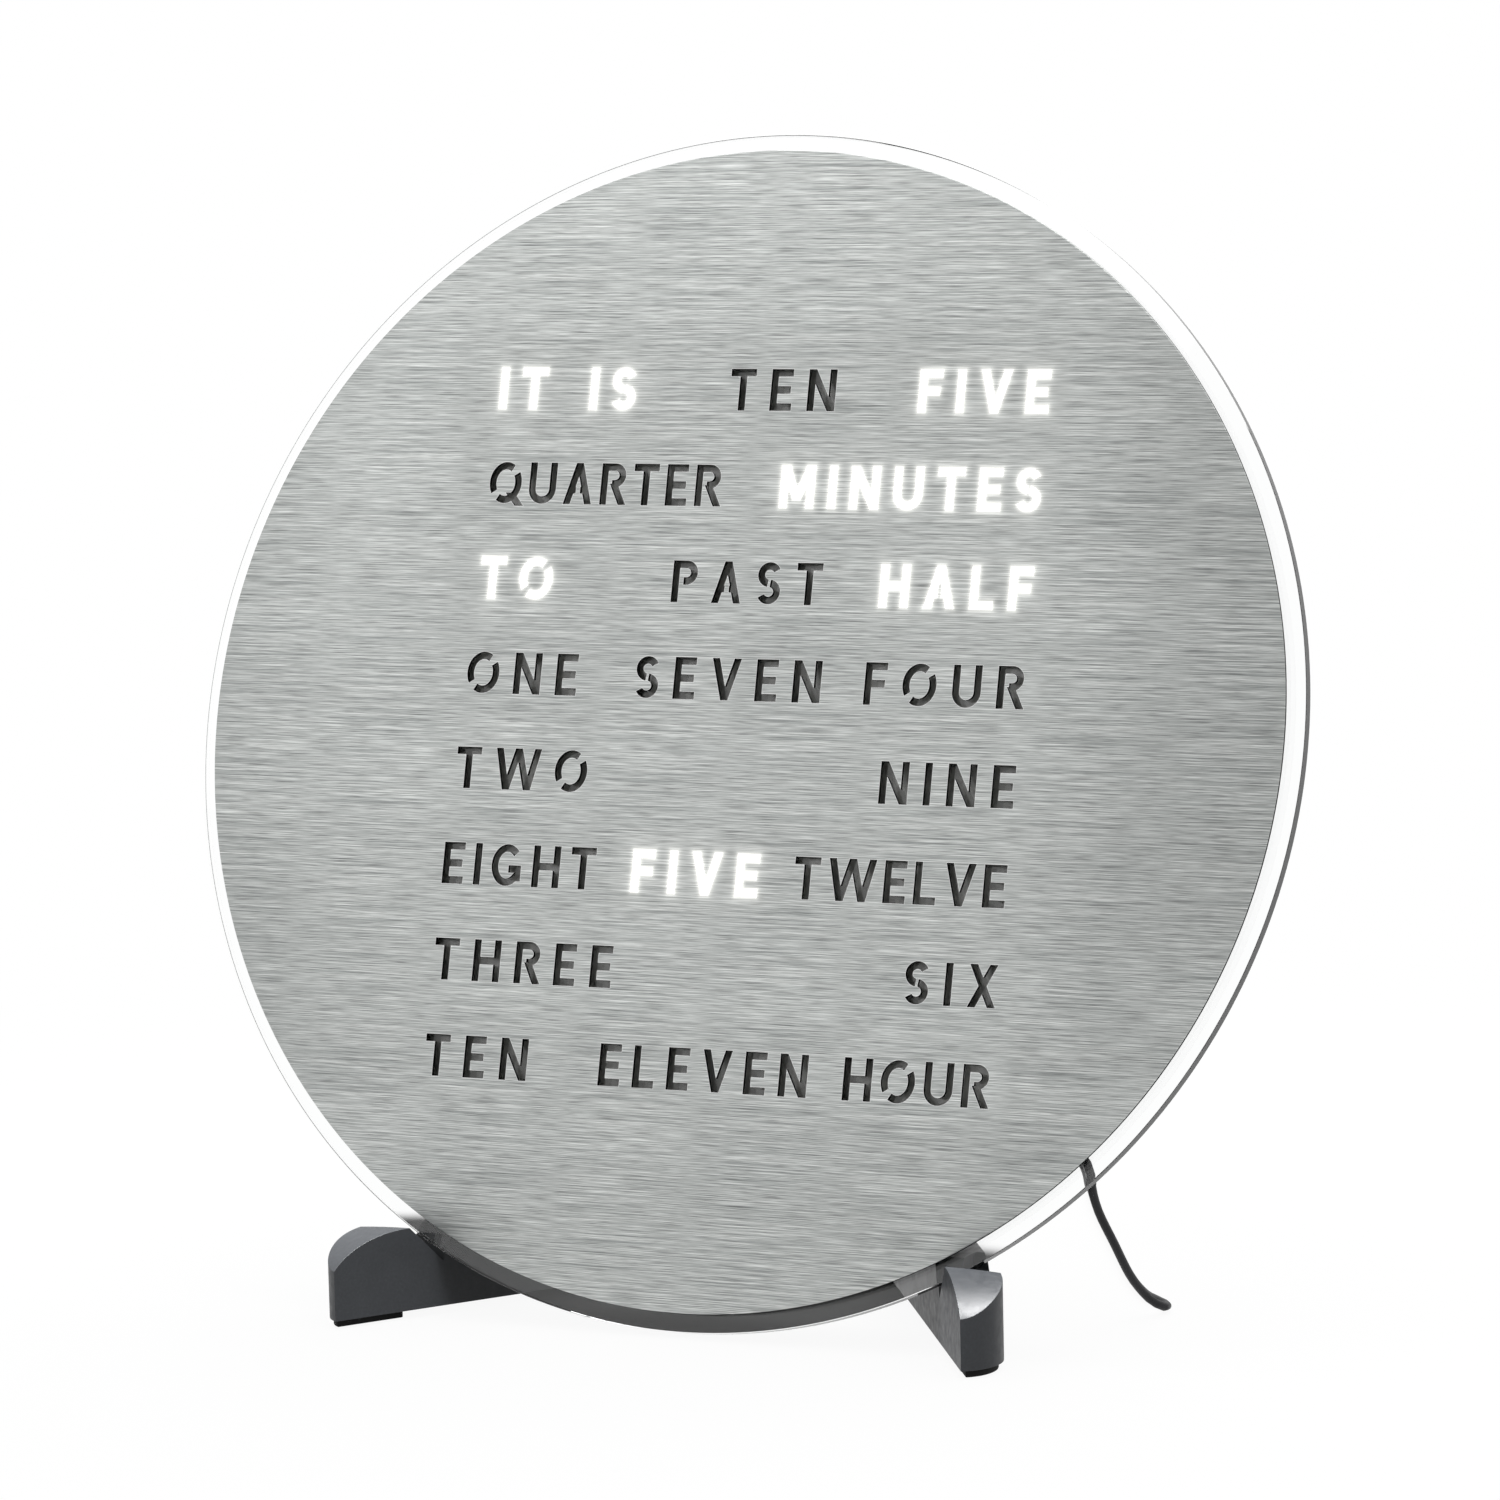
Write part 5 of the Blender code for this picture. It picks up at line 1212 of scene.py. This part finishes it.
# walls cut round the lit letters: they glow, painted light from the opal sheet behind them
lit_cut = light_sheet("dial_cut_edge_lit", LIT_COLOUR, 0.82)
# the dial's outer wall: near black, painted shade on the steel plate's edge
dial_rim = moulded("dial_rim_painted_shade", (0.010, 0.010, 0.010), 0.6, specular=0.1)
clear = clear_sheet("clear_acrylic")
opal = moulded("opal_off", (0.34, 0.34, 0.32), 0.5, 900)
shine = light_sheet("opal_on", (1.0, 0.985, 0.94), 2.2)
mask = moulded("mask_sheet", (0.006, 0.006, 0.0065), 0.7, depth=0.000008, specular=0.15)
anthracite = powder_coat("stand_powder_coat", (0.0175, 0.019, 0.0215), 0.46)
black = moulded("housing_plastic", (0.016, 0.016, 0.017), 0.40, 1300, spread=0.35)
cover_black = moulded("cover_plastic", (0.021, 0.021, 0.022), 0.46, 1600, spread=0.35)
rubber = moulded("soft_rubber", (0.008, 0.008, 0.008), 0.85, 1500, 0.00006, specular=0.2)
cord_black = moulded("cord_sheath", (0.006, 0.006, 0.008), 0.5, 1300, 0.00003, specular=0.25)
relief_black = moulded("relief_rubber_black", (0.014, 0.014, 0.015), 0.6, 1500)
grey = moulded("button_plastic", (0.27, 0.28, 0.29), 0.45)
white = moulded("white_plastic", (0.74, 0.74, 0.72), 0.5, spread=0.05)
board = circuit_board("board_solder_mask")
chip = moulded("chip_epoxy", (0.02, 0.02, 0.022), 0.55)
zinc = turned_metal("zinc_plated", (0.62, 0.62, 0.61), 0.28)
nickel = turned_metal("nickel_plated", (0.66, 0.64, 0.60), 0.2)

build_dial(steel, cut_wall_shade, lit_cut, dial_rim)
build_clear_disc(clear)
build_diffuser(opal, shine)
arms = [build_arm(side, name, anthracite, rubber) for side, name in ((-1, "left"), (1, "right"))]
light_from_above(arms)

refined("rear_bridge", "rear_bridge_plate", "stand", anthracite, 0.0004)
refined("rear_housing", "rear_housing_shell", "head", black, 0.0007, 3)
refined("service_cover", "service_cover_lid", "head", cover_black, 0.0005)
for name in ("hour", "minute", "light"):
    button = f"{name}_button"
    refined(button, f"{button}_cap", button, grey, 0.0005, 3)

plain(["letter_mask", "light_grid"], mask)
plain(["led_carrier"] + numbered("led_strip", 8), white)
plain(["control_board"], board)
plain(["control_chip", "cell_holder", "hour_switch", "minute_switch", "light_switch"], chip)
plain(["clock_crystal", "backup_cell"], nickel)
plain(["cord_terminal"], grey)
for stem in ("cover_screw", "housing_screw", "bridge_screw", "post"):
    plain(numbered(stem), zinc)
plain(["inner_lead"], cord_black)

refined("strain_relief", "strain_relief_boot", "head", relief_black, 0.00025)
tie = refined("cord_tie", "cord_tie_band", "stand", relief_black, 0.0002)
adapter = refined("adapter_shell", "adapter_case", "stand", black, 0.0008, 3)
pins = [
    refined(pin, f"{pin}_metal", "stand", nickel, 0.0003)
    for pin in numbered("plug_pin", 2)
]
build_cord(cord_black)
